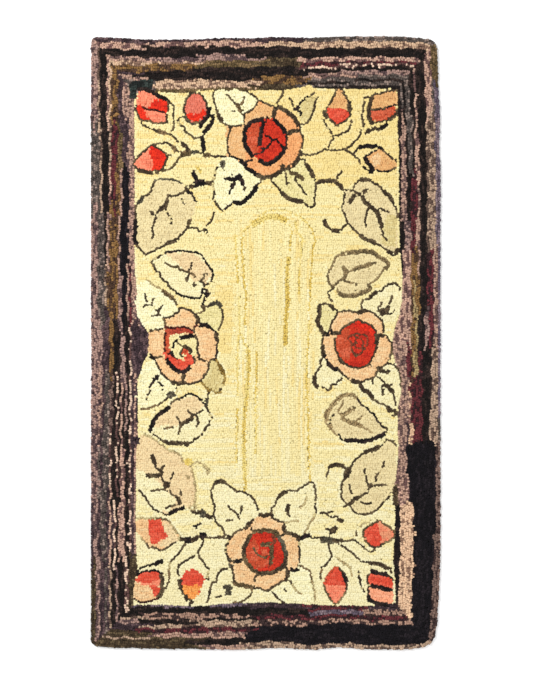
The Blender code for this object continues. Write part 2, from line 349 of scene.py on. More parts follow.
# The motifs are drawn as lines: wool, rows side by side, and the points that the line
# runs through. A motif's edge lines follow one another round its fill, and an edge line of no
# wool only bounds the fill. Spots are patches of another wool laid over the fill.
leafPile = {
    "upperLeftLarge": dict(
        fill="leafGrey",
        edge=[("moss", 1, [(-172, 327), (-186, 335), (-205, 337), (-224, 336)]),
              ("umber", 1, [(-229, 331), (-234, 320), (-237, 309), (-250, 302)]),
              ("moss", 2, [(-254, 299), (-260, 290)]),
              ("umber", 1, [(-264, 285), (-268, 278), (-267, 262)]),
              ("black", 2, [(-269, 252), (-268, 235), (-270, 214)]),
              ("umber", 1, [(-266, 204), (-258, 192), (-248, 183)]),
              ("umber", 1, [(-242, 184), (-228, 191), (-212, 199), (-204, 205)]),
              ("umber", 2, [(-202, 206), (-190, 208)]),
              ("umber", 1, [(-183, 213), (-170, 226), (-162, 236)]),
              ("olive", 2, [(-158, 243), (-155, 255)]), (None, 0, [(-147, 268), (-142, 282)]),
              ("black", 1, [(-143, 291), (-148, 298), (-152, 308), (-158, 314)])],
        lines=[("umber", 1, [(-161, 314), (-172, 309), (-188, 302), (-200, 304)]),
               ("umber", 2, [(-202, 293), (-208, 281), (-216, 274)]),
               ("umber", 1, [(-218, 272), (-226, 264), (-226, 256), (-231, 242), (-233, 233),
                             (-231, 226), (-233, 215)]),
               ("umber", 2, [(-231, 267), (-238, 267)]),
               ("dots", 1, [(-205, 274), (-201, 266), (-194, 257), (-194, 243)]),
               ("dots", 1, [(-173, 297), (-171, 291), (-165, 285)])]),
    "upperRightLarge": dict(
        fill="leafGrey",
        spots=[("leafGold", [(236, 206), (252, 198), (268, 200), (271, 262), (252, 264), (240, 240)])],
        edge=[("umber", 1, [(180, 316), (184, 326), (192, 334)]), ("umber", 2, [(195, 336), (207, 336)]),
              ("umber", 1, [(216, 333), (226, 327), (236, 321)]), ("umber", 2, [(243, 312), (256, 300)]),
              ("umber", 1, [(260, 291), (264, 283), (270, 274), (271, 258)]),
              (None, 0, [(272, 240), (272, 215), (271, 200)]),
              ("umber", 2, [(271, 193), (267, 184), (258, 184)]),
              ("umber", 1, [(252, 190), (240, 197), (230, 203)]),
              ("umber", 2, [(225, 206), (212, 211), (200, 216)]), ("umber", 1, [(194, 222), (184, 231)]),
              ("dots", 1, [(181, 235), (172, 242)]),
              ("umber", 1, [(168, 250), (163, 263), (158, 274), (159, 288), (162, 302), (163, 312)])],
        lines=[("umber", 1, [(178, 313), (186, 309), (197, 307)]),
               ("umber", 2, [(190, 305), (180, 302), (174, 290), (171, 286)]),
               ("umber", 2, [(199, 309), (204, 313), (211, 313)]),
               ("umber", 2, [(198, 302), (204, 290), (216, 280), (229, 271)]),
               ("umber", 1, [(228, 275), (240, 275), (248, 271), (256, 268)]),
               ("umber", 2, [(229, 268), (233, 257), (238, 244)]),
               ("umber", 1, [(238, 236), (242, 222), (250, 209)]),
               ("umber", 1, [(211, 275), (207, 264), (205, 250), (206, 237)])]),
    "leftUpperMid": dict(
        fill="whey",
        edge=[("dots", 1, [(-124, 119), (-116, 123), (-111, 130)]),
              ("black", 1, [(-108, 138), (-110, 148), (-116, 157), (-122, 164), (-127, 174),
                            (-137, 184), (-148, 187)]),
              ("black", 1, [(-155, 187), (-168, 189), (-180, 190), (-190, 188), (-204, 186)]),
              ("dots", 1, [(-208, 184), (-217, 179), (-230, 171)]),
              ("umber", 1, [(-234, 165), (-229, 157), (-226, 149), (-219, 146), (-217, 138),
                            (-211, 130), (-202, 123), (-198, 115), (-188, 107)]),
              ("black", 1, [(-185, 105), (-178, 100), (-169, 96), (-158, 94), (-145, 92), (-137, 92)]),
              (None, 0, [(-130, 98), (-126, 108)])],
        spots=[("leafPink", [(-205, 184), (-150, 185), (-122, 160), (-110, 140), (-122, 124),
                             (-150, 128), (-165, 150)])],
        lines=[("olive", 1, [(-207, 164), (-198, 160), (-188, 156), (-179, 157), (-176, 151),
                             (-164, 147), (-154, 144), (-147, 138), (-142, 133)]),
               ("umber", 1, [(-152, 164), (-155, 152), (-157, 142), (-160, 136)]),
               ("umber", 2, [(-162, 133), (-165, 128)]), ("umber", 2, [(-149, 121), (-145, 119)]),
               ("umber", 1, [(-126, 117), (-129, 124), (-136, 127)]),
               ("umber", 1, [(-128, 131), (-126, 141), (-120, 141)])]),
    "rightUpperMid": dict(
        fill="leafGrey",
        edge=[("taupe", 1, [(139, 113), (133, 120), (128, 132), (131, 150), (138, 160), (143, 176),
                            (152, 181)]),
              ("taupe", 2, [(158, 183), (175, 186), (190, 187), (205, 189), (218, 187), (228, 181)]),
              ("taupe", 2, [(234, 175), (247, 170), (251, 158)]),
              ("taupe", 1, [(245, 152), (240, 146), (235, 140), (226, 129), (216, 123)]),
              ("taupe", 2, [(213, 120), (213, 110), (200, 104), (185, 98), (165, 97), (153, 100)]),
              ("taupe", 1, [(149, 104), (147, 111)])],
        lines=[("taupe", 1, [(140, 118), (148, 125), (158, 132)]),
               ("taupe", 2, [(161, 134), (165, 143), (161, 155)]), ("taupe", 1, [(167, 146), (178, 150)]),
               ("taupe", 2, [(182, 152), (200, 157), (214, 162)]), ("taupe", 1, [(218, 164), (231, 164)]),
               ("taupe", 1, [(162, 129), (168, 125), (184, 123), (187, 121)])]),
    "leftLowerMid": dict(
        fill="whey",
        edge=[("black", 1, [(-127, -126), (-133, -117), (-145, -108), (-155, -104), (-163, -107),
                            (-171, -111)]),
              ("umber", 1, [(-177, -116), (-190, -118), (-196, -128)]),
              ("black", 2, [(-198, -132), (-214, -143), (-226, -153), (-232, -165), (-237, -176)]),
              (None, 0, [(-238, -184)]),
              ("umber", 1, [(-230, -187), (-221, -196), (-212, -200)]),
              ("umber", 2, [(-207, -203), (-190, -206), (-175, -206), (-163, -208)]),
              ("umber", 1, [(-157, -206), (-149, -202), (-146, -197), (-141, -196)]),
              ("dots", 1, [(-136, -192), (-128, -183), (-124, -176), (-117, -166), (-111, -154)]),
              (None, 0, [(-116, -147), (-122, -135)])],
        spots=[("leafPink", [(-128, -128), (-145, -110), (-190, -120), (-232, -165), (-235, -176),
                             (-205, -168), (-175, -172), (-150, -160)])],
        lines=[("umber", 1, [(-130, -138), (-138, -144), (-147, -149)]),
               ("umber", 2, [(-150, -152), (-158, -160), (-170, -165), (-177, -172)]),
               ("umber", 1, [(-148, -149), (-154, -144), (-160, -140)]),
               ("umber", 1, [(-176, -163), (-180, -157), (-183, -151)]),
               ("olive", 1, [(-178, -174), (-177, -182), (-182, -190)]),
               ("umber", 1, [(-142, -151), (-140, -158), (-138, -165), (-145, -174)]),
               ("umber", 1, [(-157, -161), (-159, -165)]),
               ("olive", 1, [(-208, -176), (-199, -174), (-190, -172)])]),
    "rightLowerMid": dict(
        fill="leafGrey",
        edge=[("hazel", 2, [(186, -112), (174, -106), (162, -107), (150, -114)]),
              ("hazel", 2, [(146, -117), (136, -130), (126, -145), (125, -158), (133, -172)]),
              ("hazel", 1, [(135, -177), (142, -186), (147, -190)]),
              ("black", 1, [(150, -188), (154, -195), (159, -200)]),
              ("black", 2, [(162, -201), (180, -200), (195, -202), (209, -201), (224, -196), (241, -189)]),
              ("umber", 1, [(246, -186), (249, -178)]),
              ("black", 1, [(246, -174), (238, -169), (232, -162), (226, -153), (222, -146),
                            (213, -140), (206, -132), (197, -127), (189, -115)])],
        lines=[("hazel", 1, [(160, -119), (156, -130), (149, -138)]),
               ("hazel", 2, [(153, -146), (164, -146), (174, -137)]),
               ("taupe", 2, [(178, -133), (185, -136)]),
               ("hazel", 2, [(156, -155), (170, -161), (182, -166), (194, -169)]),
               ("hazel", 1, [(197, -172), (208, -177), (220, -184)]),
               ("hazel", 1, [(186, -161), (193, -155), (200, -150)]),
               ("dots", 1, [(141, -147), (134, -154), (132, -166)])]),
    "lowerLeftLarge": dict(
        fill="leafPink",
        edge=[("haze", 1, [(-175, -231), (-182, -226), (-198, -220), (-212, -211), (-220, -204)]),
              ("haze", 1, [(-228, -198), (-240, -192), (-252, -187)]),
              (None, 0, [(-264, -196), (-266, -240), (-266, -290)]),
              ("umber", 1, [(-261, -303), (-249, -315), (-244, -324), (-238, -331), (-232, -340),
                            (-220, -346), (-208, -353), (-200, -353)]),
              ("black", 2, [(-197, -350), (-186, -345), (-174, -339)]), (None, 0, [(-165, -338)]),
              ("haze", 2, [(-158, -337), (-146, -340)]),
              ("haze", 1, [(-146, -330), (-144, -305), (-147, -280), (-152, -262)]),
              (None, 0, [(-155, -252)]),
              ("haze", 1, [(-170, -245), (-173, -236)])],
        spots=[("whey", [(-268, -258), (-244, -268), (-222, -284), (-200, -308), (-184, -322),
                         (-196, -347), (-226, -343), (-246, -318), (-268, -296)]),
               ("butter", [(-168, -237), (-153, -237), (-150, -248), (-156, -256), (-166, -250)])],
        lines=[("umber", 2, [(-234, -230), (-230, -242)]),
               ("umber", 1, [(-228, -248), (-226, -256), (-218, -260)]),
               ("umber", 2, [(-216, -261), (-217, -272), (-226, -273), (-240, -273)]),
               ("umber", 1, [(-243, -272), (-248, -267)]),
               ("umber", 1, [(-214, -258), (-210, -253), (-205, -252)]),
               ("umber", 1, [(-214, -276), (-208, -287)]), ("umber", 3, [(-203, -287), (-204, -298)]),
               ("umber", 1, [(-190, -267), (-192, -274), (-196, -281)]),
               ("umber", 1, [(-235, -305), (-222, -302), (-207, -302)]),
               ("umber", 1, [(-198, -304), (-192, -311), (-184, -315)]),
               ("umber", 2, [(-180, -317), (-178, -325), (-175, -331)]),
               ("umber", 1, [(-175, -303), (-174, -310), (-176, -316)]),
               ("umber", 1, [(-180, -332), (-192, -335), (-200, -336), (-207, -342)]),
               ("haze", 1, [(-163, -272), (-158, -276), (-161, -279)])]),
    "lowerRightLarge": dict(
        fill="leafGrey",
        edge=[("umber", 1, [(250, -199), (259, -201), (268, -210)]),
              (None, 0, [(269, -240), (268, -270), (262, -300)]),
              ("dots", 1, [(258, -309), (250, -320)]),
              ("umber", 1, [(243, -325), (237, -334), (232, -341), (224, -345)]),
              ("umber", 1, [(219, -350), (205, -352), (190, -351), (179, -344)]),
              ("umber", 1, [(175, -337), (166, -330), (159, -323)]),
              ("umber", 1, [(155, -317), (156, -304), (155, -296)]),
              ("umber", 1, [(158, -288), (160, -282)]), ("umber", 3, [(166, -276), (168, -266)]),
              ("umber", 1, [(174, -258), (178, -249), (184, -241), (193, -233), (200, -228)]),
              ("umber", 2, [(205, -225), (214, -221), (226, -217)]),
              ("dots", 1, [(233, -214), (240, -210), (244, -203)])],
        lines=[("umber", 2, [(171, -334), (178, -326)]), ("umber", 2, [(181, -321), (188, -319)]),
               ("umber", 1, [(192, -318), (203, -311), (211, -305), (212, -298)]),
               ("umber", 2, [(213, -297), (216, -293)]),
               ("umber", 1, [(220, -291), (231, -293), (248, -291)]),
               ("umber", 1, [(210, -291), (207, -283), (207, -277)]),
               ("dots", 1, [(206, -272), (202, -264), (206, -258)]),
               ("umber", 1, [(231, -268), (227, -276), (225, -284)]),
               ("umber", 1, [(244, -243), (243, -250), (238, -256)]),
               ("umber", 1, [(173, -291), (174, -300), (176, -310)]),
               ("umber", 1, [(195, -328), (208, -330), (220, -330)]),
               ("umber", 1, [(160, -337), (167, -333)])]),
    "topRoseUpperLeft": dict(
        fill="milk",
        edge=[("olive", 1, [(-43, 518), (-52, 521), (-62, 524), (-76, 521), (-92, 523), (-103, 521)]),
              ("umber", 1, [(-108, 514), (-107, 500), (-103, 487), (-99, 474)]),
              ("umber", 2, [(-96, 468), (-93, 461)]), ("umber", 1, [(-89, 454), (-80, 448), (-72, 446)]),
              (None, 0, [(-55, 447), (-44, 460), (-38, 475), (-22, 482), (-18, 495)]),
              ("umber", 1, [(-16, 500), (-22, 506), (-28, 512), (-34, 513), (-39, 518)])],
        lines=[("umber", 1, [(-80, 511), (-72, 503), (-64, 494)]),
               ("olive", 2, [(-59, 490), (-53, 480), (-45, 471)]),
               ("olive", 1, [(-45, 507), (-46, 498), (-51, 490)]),
               ("umber", 1, [(-67, 476), (-60, 477)])]),
    "topRoseUpperRight": dict(
        fill="straw",
        edge=[("umber", 1, [(24, 494), (29, 503), (35, 511), (37, 519)]),
              (None, 0, [(50, 520), (72, 523), (89, 531), (104, 522), (108, 514)]),
              ("umber", 1, [(106, 506), (101, 490), (98, 475), (93, 464)]),
              ("umber", 1, [(90, 460), (84, 452), (74, 449)]),
              (None, 0, [(66, 455), (58, 470), (40, 482)])],
        spots=[("leafGold", [(64, 482), (74, 495), (90, 507), (103, 508), (99, 480), (90, 462), (76, 455),
                         (66, 468)])],
        lines=[("umber", 1, [(100, 515), (93, 509)]), ("black", 1, [(86, 507), (79, 501), (70, 492)]),
               ("black", 2, [(66, 486), (60, 478)]), ("umber", 1, [(49, 504), (54, 496), (57, 486)]),
               ("black", 1, [(66, 478), (72, 475), (73, 469)])]),
    "topRoseLowerLeft": dict(
        fill="milk",
        edge=[("dots", 1, [(-99, 362), (-104, 352), (-104, 343), (-108, 334), (-107, 322),
                           (-106, 306), (-108, 297)]),
              ("umber", 1, [(-104, 290), (-98, 280), (-89, 273)]),
              ("black", 1, [(-86, 275), (-78, 280), (-72, 284)]),
              ("black", 2, [(-66, 289), (-50, 288), (-40, 296), (-30, 305), (-22, 317)]),
              ("umber", 1, [(-17, 324), (-12, 331), (-8, 339)]),
              (None, 0, [(-24, 352), (-40, 358), (-46, 368), (-60, 378), (-85, 384)])],
        lines=[("black", 2, [(-78, 338), (-64, 337), (-50, 345)]), ("black", 1, [(-86, 337), (-80, 338)]),
               ("black", 1, [(-69, 346), (-66, 340)]), ("black", 2, [(-66, 331), (-69, 323)]),
               ("black", 1, [(-71, 318), (-75, 306)]), ("black", 2, [(-51, 338), (-48, 330)]),
               ("umber", 1, [(-46, 324), (-43, 319), (-46, 312)]), ("moss", 2, [(-88, 374), (-90, 360)])]),
    "topRoseLowerRight": dict(
        fill="leafGreen",
        edge=[("umber", 1, [(12, 336), (20, 324), (27, 318)]),
              ("umber", 2, [(31, 311), (42, 301), (54, 294), (68, 292)]),
              ("umber", 1, [(75, 289), (84, 284), (91, 279), (98, 280)]),
              ("umber", 1, [(101, 286), (101, 300), (103, 315), (103, 329)]),
              ("umber", 2, [(99, 340), (93, 352), (89, 360)]), ("umber", 1, [(83, 369), (76, 379)]),
              (None, 0, [(66, 374), (55, 364), (40, 356), (25, 348)])],
        lines=[("umber", 1, [(40, 352), (41, 342), (43, 333)]), ("umber", 2, [(45, 329), (46, 325)]),
               ("olive", 2, [(50, 351), (60, 348), (70, 342), (79, 335)]),
               ("umber", 1, [(61, 345), (62, 334), (70, 323), (75, 319), (77, 312), (86, 303)])]),
    "bottomRoseUpperLeft": dict(
        fill="whey",
        edge=[("umber", 1, [(-79, -396), (-85, -391), (-90, -380), (-97, -373), (-104, -367)]),
              ("umber", 1, [(-107, -355), (-105, -335), (-110, -322), (-111, -305), (-107, -292)]),
              ("umber", 2, [(-102, -288), (-92, -283)]),
              ("umber", 1, [(-84, -288), (-70, -297), (-60, -305), (-50, -304)]),
              ("umber", 1, [(-45, -308), (-31, -314), (-25, -322), (-18, -335), (-14, -350)]),
              (None, 0, [(-25, -365), (-35, -375), (-55, -384), (-70, -396)])],
        lines=[("umber", 1, [(-78, -334), (-70, -343), (-60, -350), (-54, -361)]),
               ("umber", 1, [(-50, -337), (-51, -347), (-56, -353)]),
               ("umber", 1, [(-81, -366), (-73, -364), (-64, -364)])]),
    "bottomRoseUpperRight": dict(
        fill="whey",
        edge=[("umber", 1, [(12, -352), (13, -340), (20, -331), (25, -319)]),
              ("umber", 2, [(29, -314), (36, -308)]),
              ("umber", 1, [(44, -304), (51, -303), (60, -305), (70, -299), (78, -294)]),
              ("umber", 1, [(84, -290), (96, -286), (100, -294), (102, -306), (103, -318)]),
              ("dots", 1, [(102, -326), (102, -338), (104, -348)]),
              ("haze", 1, [(100, -356), (92, -369), (85, -382), (78, -392)]),
              (None, 0, [(60, -391), (42, -388), (36, -372), (20, -360)])],
        lines=[("umber", 2, [(47, -333), (44, -343)]), ("umber", 1, [(42, -350), (51, -356)]),
               ("haze", 1, [(84, -317), (80, -330), (68, -340)]),
               ("haze", 1, [(42, -370), (52, -366), (70, -366)])]),
    "bottomRoseLowerLeft": dict(
        fill="whey",
        edge=[("umber", 1, [(-80, -464), (-90, -466), (-97, -475)]),
              ("umber", 1, [(-101, -481), (-101, -490), (-108, -493), (-113, -501)]),
              ("umber", 1, [(-115, -510), (-117, -522), (-119, -533)]),
              (None, 0, [(-100, -538), (-75, -537)]),
              ("olive", 1, [(-65, -534), (-50, -532), (-38, -524), (-29, -514)]),
              (None, 0, [(-30, -503), (-55, -498), (-68, -490), (-70, -470)])],
        lines=[("moss", 2, [(-86, -502), (-74, -501)]), ("moss", 3, [(-78, -511), (-77, -518)]),
               ("umber", 1, [(-101, -522), (-94, -521), (-88, -519)])]),
    "bottomRoseLowerRight": dict(
        fill="milk",
        edge=[("olive", 1, [(66, -456), (76, -461), (88, -467), (93, -478)]),
              ("haze", 1, [(94, -488), (99, -504), (101, -518), (102, -531)]),
              (None, 0, [(80, -536), (52, -537)]),
              ("umber", 1, [(38, -535), (26, -526), (12, -511)]),
              (None, 0, [(25, -498), (45, -484), (52, -468)])],
        lines=[("umber", 1, [(45, -485), (52, -491)]), ("haze", 1, [(55, -497), (62, -508), (76, -518)]),
               ("dots", 1, [(39, -506), (44, -513)])]),
    "leftRoseUpperLeft": dict(
        fill="milk",
        edge=[("haze", 1, [(-242, 130), (-230, 118), (-219, 114)]),
              ("olive", 2, [(-213, 109), (-203, 101), (-192, 92)]), ("olive", 1, [(-188, 88), (-183, 79)]),
              (None, 0, [(-181, 66), (-198, 55)]),
              ("olive", 1, [(-209, 50), (-207, 40), (-205, 32)]),
              ("umber", 1, [(-212, 29), (-225, 28), (-238, 25)]),
              (None, 0, [(-250, 36), (-262, 56), (-268, 80), (-264, 120)])],
        lines=[("umber", 1, [(-248, 101), (-247, 93), (-243, 82)]), ("umber", 1, [(-230, 91), (-234, 82)]),
               ("umber", 1, [(-251, 74), (-243, 79), (-232, 77)]),
               ("umber", 1, [(-213, 77), (-218, 71), (-220, 61)]), ("umber", 1, [(-226, 69), (-221, 66)]),
               ("umber", 1, [(-234, 56), (-224, 57), (-216, 58)])]),
    "leftRoseUpperRight": dict(
        fill="leafGreen",
        edge=[("olive", 1, [(-140, 60), (-133, 63), (-126, 68)]),
              ("umber", 1, [(-132, 76), (-124, 74), (-117, 76)]),
              ("moss", 2, [(-113, 79), (-104, 83), (-96, 80)]),
              ("umber", 1, [(-92, 73), (-88, 60), (-90, 42)]), ("olive", 1, [(-95, 31), (-99, 23)]),
              (None, 0, [(-110, 27), (-125, 38), (-138, 38)])],
        lines=[]),
    "leftRoseLowerLeft": dict(
        fill="milk",
        edge=[("dots", 1, [(-184, -92), (-182, -96)]), ("moss", 3, [(-188, -103), (-197, -107)]),
              ("umber", 1, [(-200, -112), (-212, -121)]),
              ("olive", 1, [(-220, -127), (-230, -130), (-243, -135), (-259, -136)]),
              (None, 0, [(-266, -110), (-256, -64), (-248, -40), (-226, -34), (-217, -60), (-198, -78)])],
        lines=[("black", 2, [(-222, -72), (-230, -75)]), ("black", 1, [(-222, -67), (-223, -72)]),
               ("black", 1, [(-232, -72), (-228, -77), (-236, -86), (-240, -93)]),
               ("black", 1, [(-221, -80), (-214, -86), (-210, -91)]),
               ("dots", 1, [(-238, -99), (-242, -106), (-245, -117)]),
               ("dots", 1, [(-211, -96), (-210, -100)])]),
    "leftRoseLowerRight": dict(
        fill="leafGold",
        edge=[("ochre", 1, [(-103, -35), (-98, -42)]), ("ochre", 2, [(-95, -47), (-90, -57)]),
              ("ochre", 1, [(-86, -64), (-84, -74), (-87, -86)]),
              ("ochre", 1, [(-92, -101), (-99, -103), (-108, -98), (-117, -97)]),
              ("ochre", 1, [(-122, -92), (-127, -86), (-132, -82)]),
              (None, 0, [(-128, -70), (-118, -56), (-118, -40)])],
        lines=[("olive", 2, [(-95, -96), (-90, -96)]), ("ochre", 2, [(-118, -96), (-112, -98)])]),
    "rightRoseUpperLeft": dict(
        fill="leafGreen",
        edge=[("umber", 1, [(149, 63), (143, 69), (137, 76)]),
              ("umber", 1, [(133, 79), (122, 80), (112, 80)]), ("umber", 2, [(111, 75), (110, 57)]),
              ("umber", 2, [(107, 50), (107, 40), (113, 31), (118, 20)]),
              (None, 0, [(122, 16), (130, 18)]),
              ("umber", 1, [(132, 24), (133, 36), (139, 48), (146, 58)])],
        lines=[("umber", 1, [(133, 75), (141, 66)])]),
    "rightRoseUpperRight": dict(
        fill="whey",
        edge=[("umber", 1, [(197, 70), (196, 76), (198, 83)]), ("umber", 1, [(200, 88), (208, 91)]),
              ("umber", 2, [(211, 92), (218, 98), (224, 103)]),
              ("umber", 1, [(230, 105), (240, 108), (243, 115), (251, 119), (259, 122)]),
              ("umber", 1, [(266, 123), (274, 117), (278, 106)]),
              (None, 0, [(279, 90), (276, 64), (268, 50), (262, 42), (246, 42), (236, 52), (222, 62),
                         (208, 67)])],
        lines=[("umber", 1, [(261, 97), (258, 90), (256, 85)]), ("umber", 2, [(253, 76), (248, 66)]),
               ("umber", 2, [(244, 62), (234, 60)]),
               ("umber", 1, [(248, 60), (260, 61), (262, 67), (267, 68)]),
               ("umber", 1, [(238, 84), (238, 79)]), ("umber", 1, [(231, 72), (233, 64)]),
               ("umber", 1, [(240, 72), (244, 67)])]),
    "rightRoseLowerLeft": dict(
        fill="whey",
        edge=[("umber", 1, [(119, -27), (114, -36), (112, -48)]), ("umber", 1, [(108, -55), (103, -63)]),
              ("umber", 2, [(101, -68), (101, -85)]), (None, 0, [(110, -90)]),
              ("umber", 1, [(116, -91), (124, -95), (131, -97)]),
              ("umber", 1, [(135, -87), (144, -84), (150, -78), (160, -70)]),
              (None, 0, [(152, -58), (138, -50), (126, -36)])],
        lines=[("black", 1, [(122, -25), (125, -34), (127, -38)])]),
    "rightRoseLowerRight": dict(
        fill="whey",
        edge=[("umber", 2, [(193, -83), (199, -94), (212, -103), (219, -111)]),
              ("umber", 1, [(223, -116), (233, -123), (247, -129)]),
              ("umber", 2, [(251, -132), (255, -138)]), (None, 0, [(266, -140), (276, -120), (278, -100)]),
              ("umber", 1, [(278, -88), (277, -70), (270, -52), (262, -44)]),
              (None, 0, [(250, -42), (236, -50), (229, -62), (215, -74), (202, -80)])],
        lines=[("umber", 1, [(219, -72), (220, -79), (219, -86)]), ("umber", 2, [(233, -55), (254, -60)]),
               ("umber", 1, [(231, -69), (238, -76), (245, -82)]),
               ("umber", 2, [(247, -85), (255, -94), (261, -101)]),
               ("umber", 1, [(263, -106), (266, -118), (269, -131)]),
               ("umber", 1, [(242, -85), (240, -94), (241, -107)]),
               ("umber", 1, [(254, -86), (263, -86)])]),
}

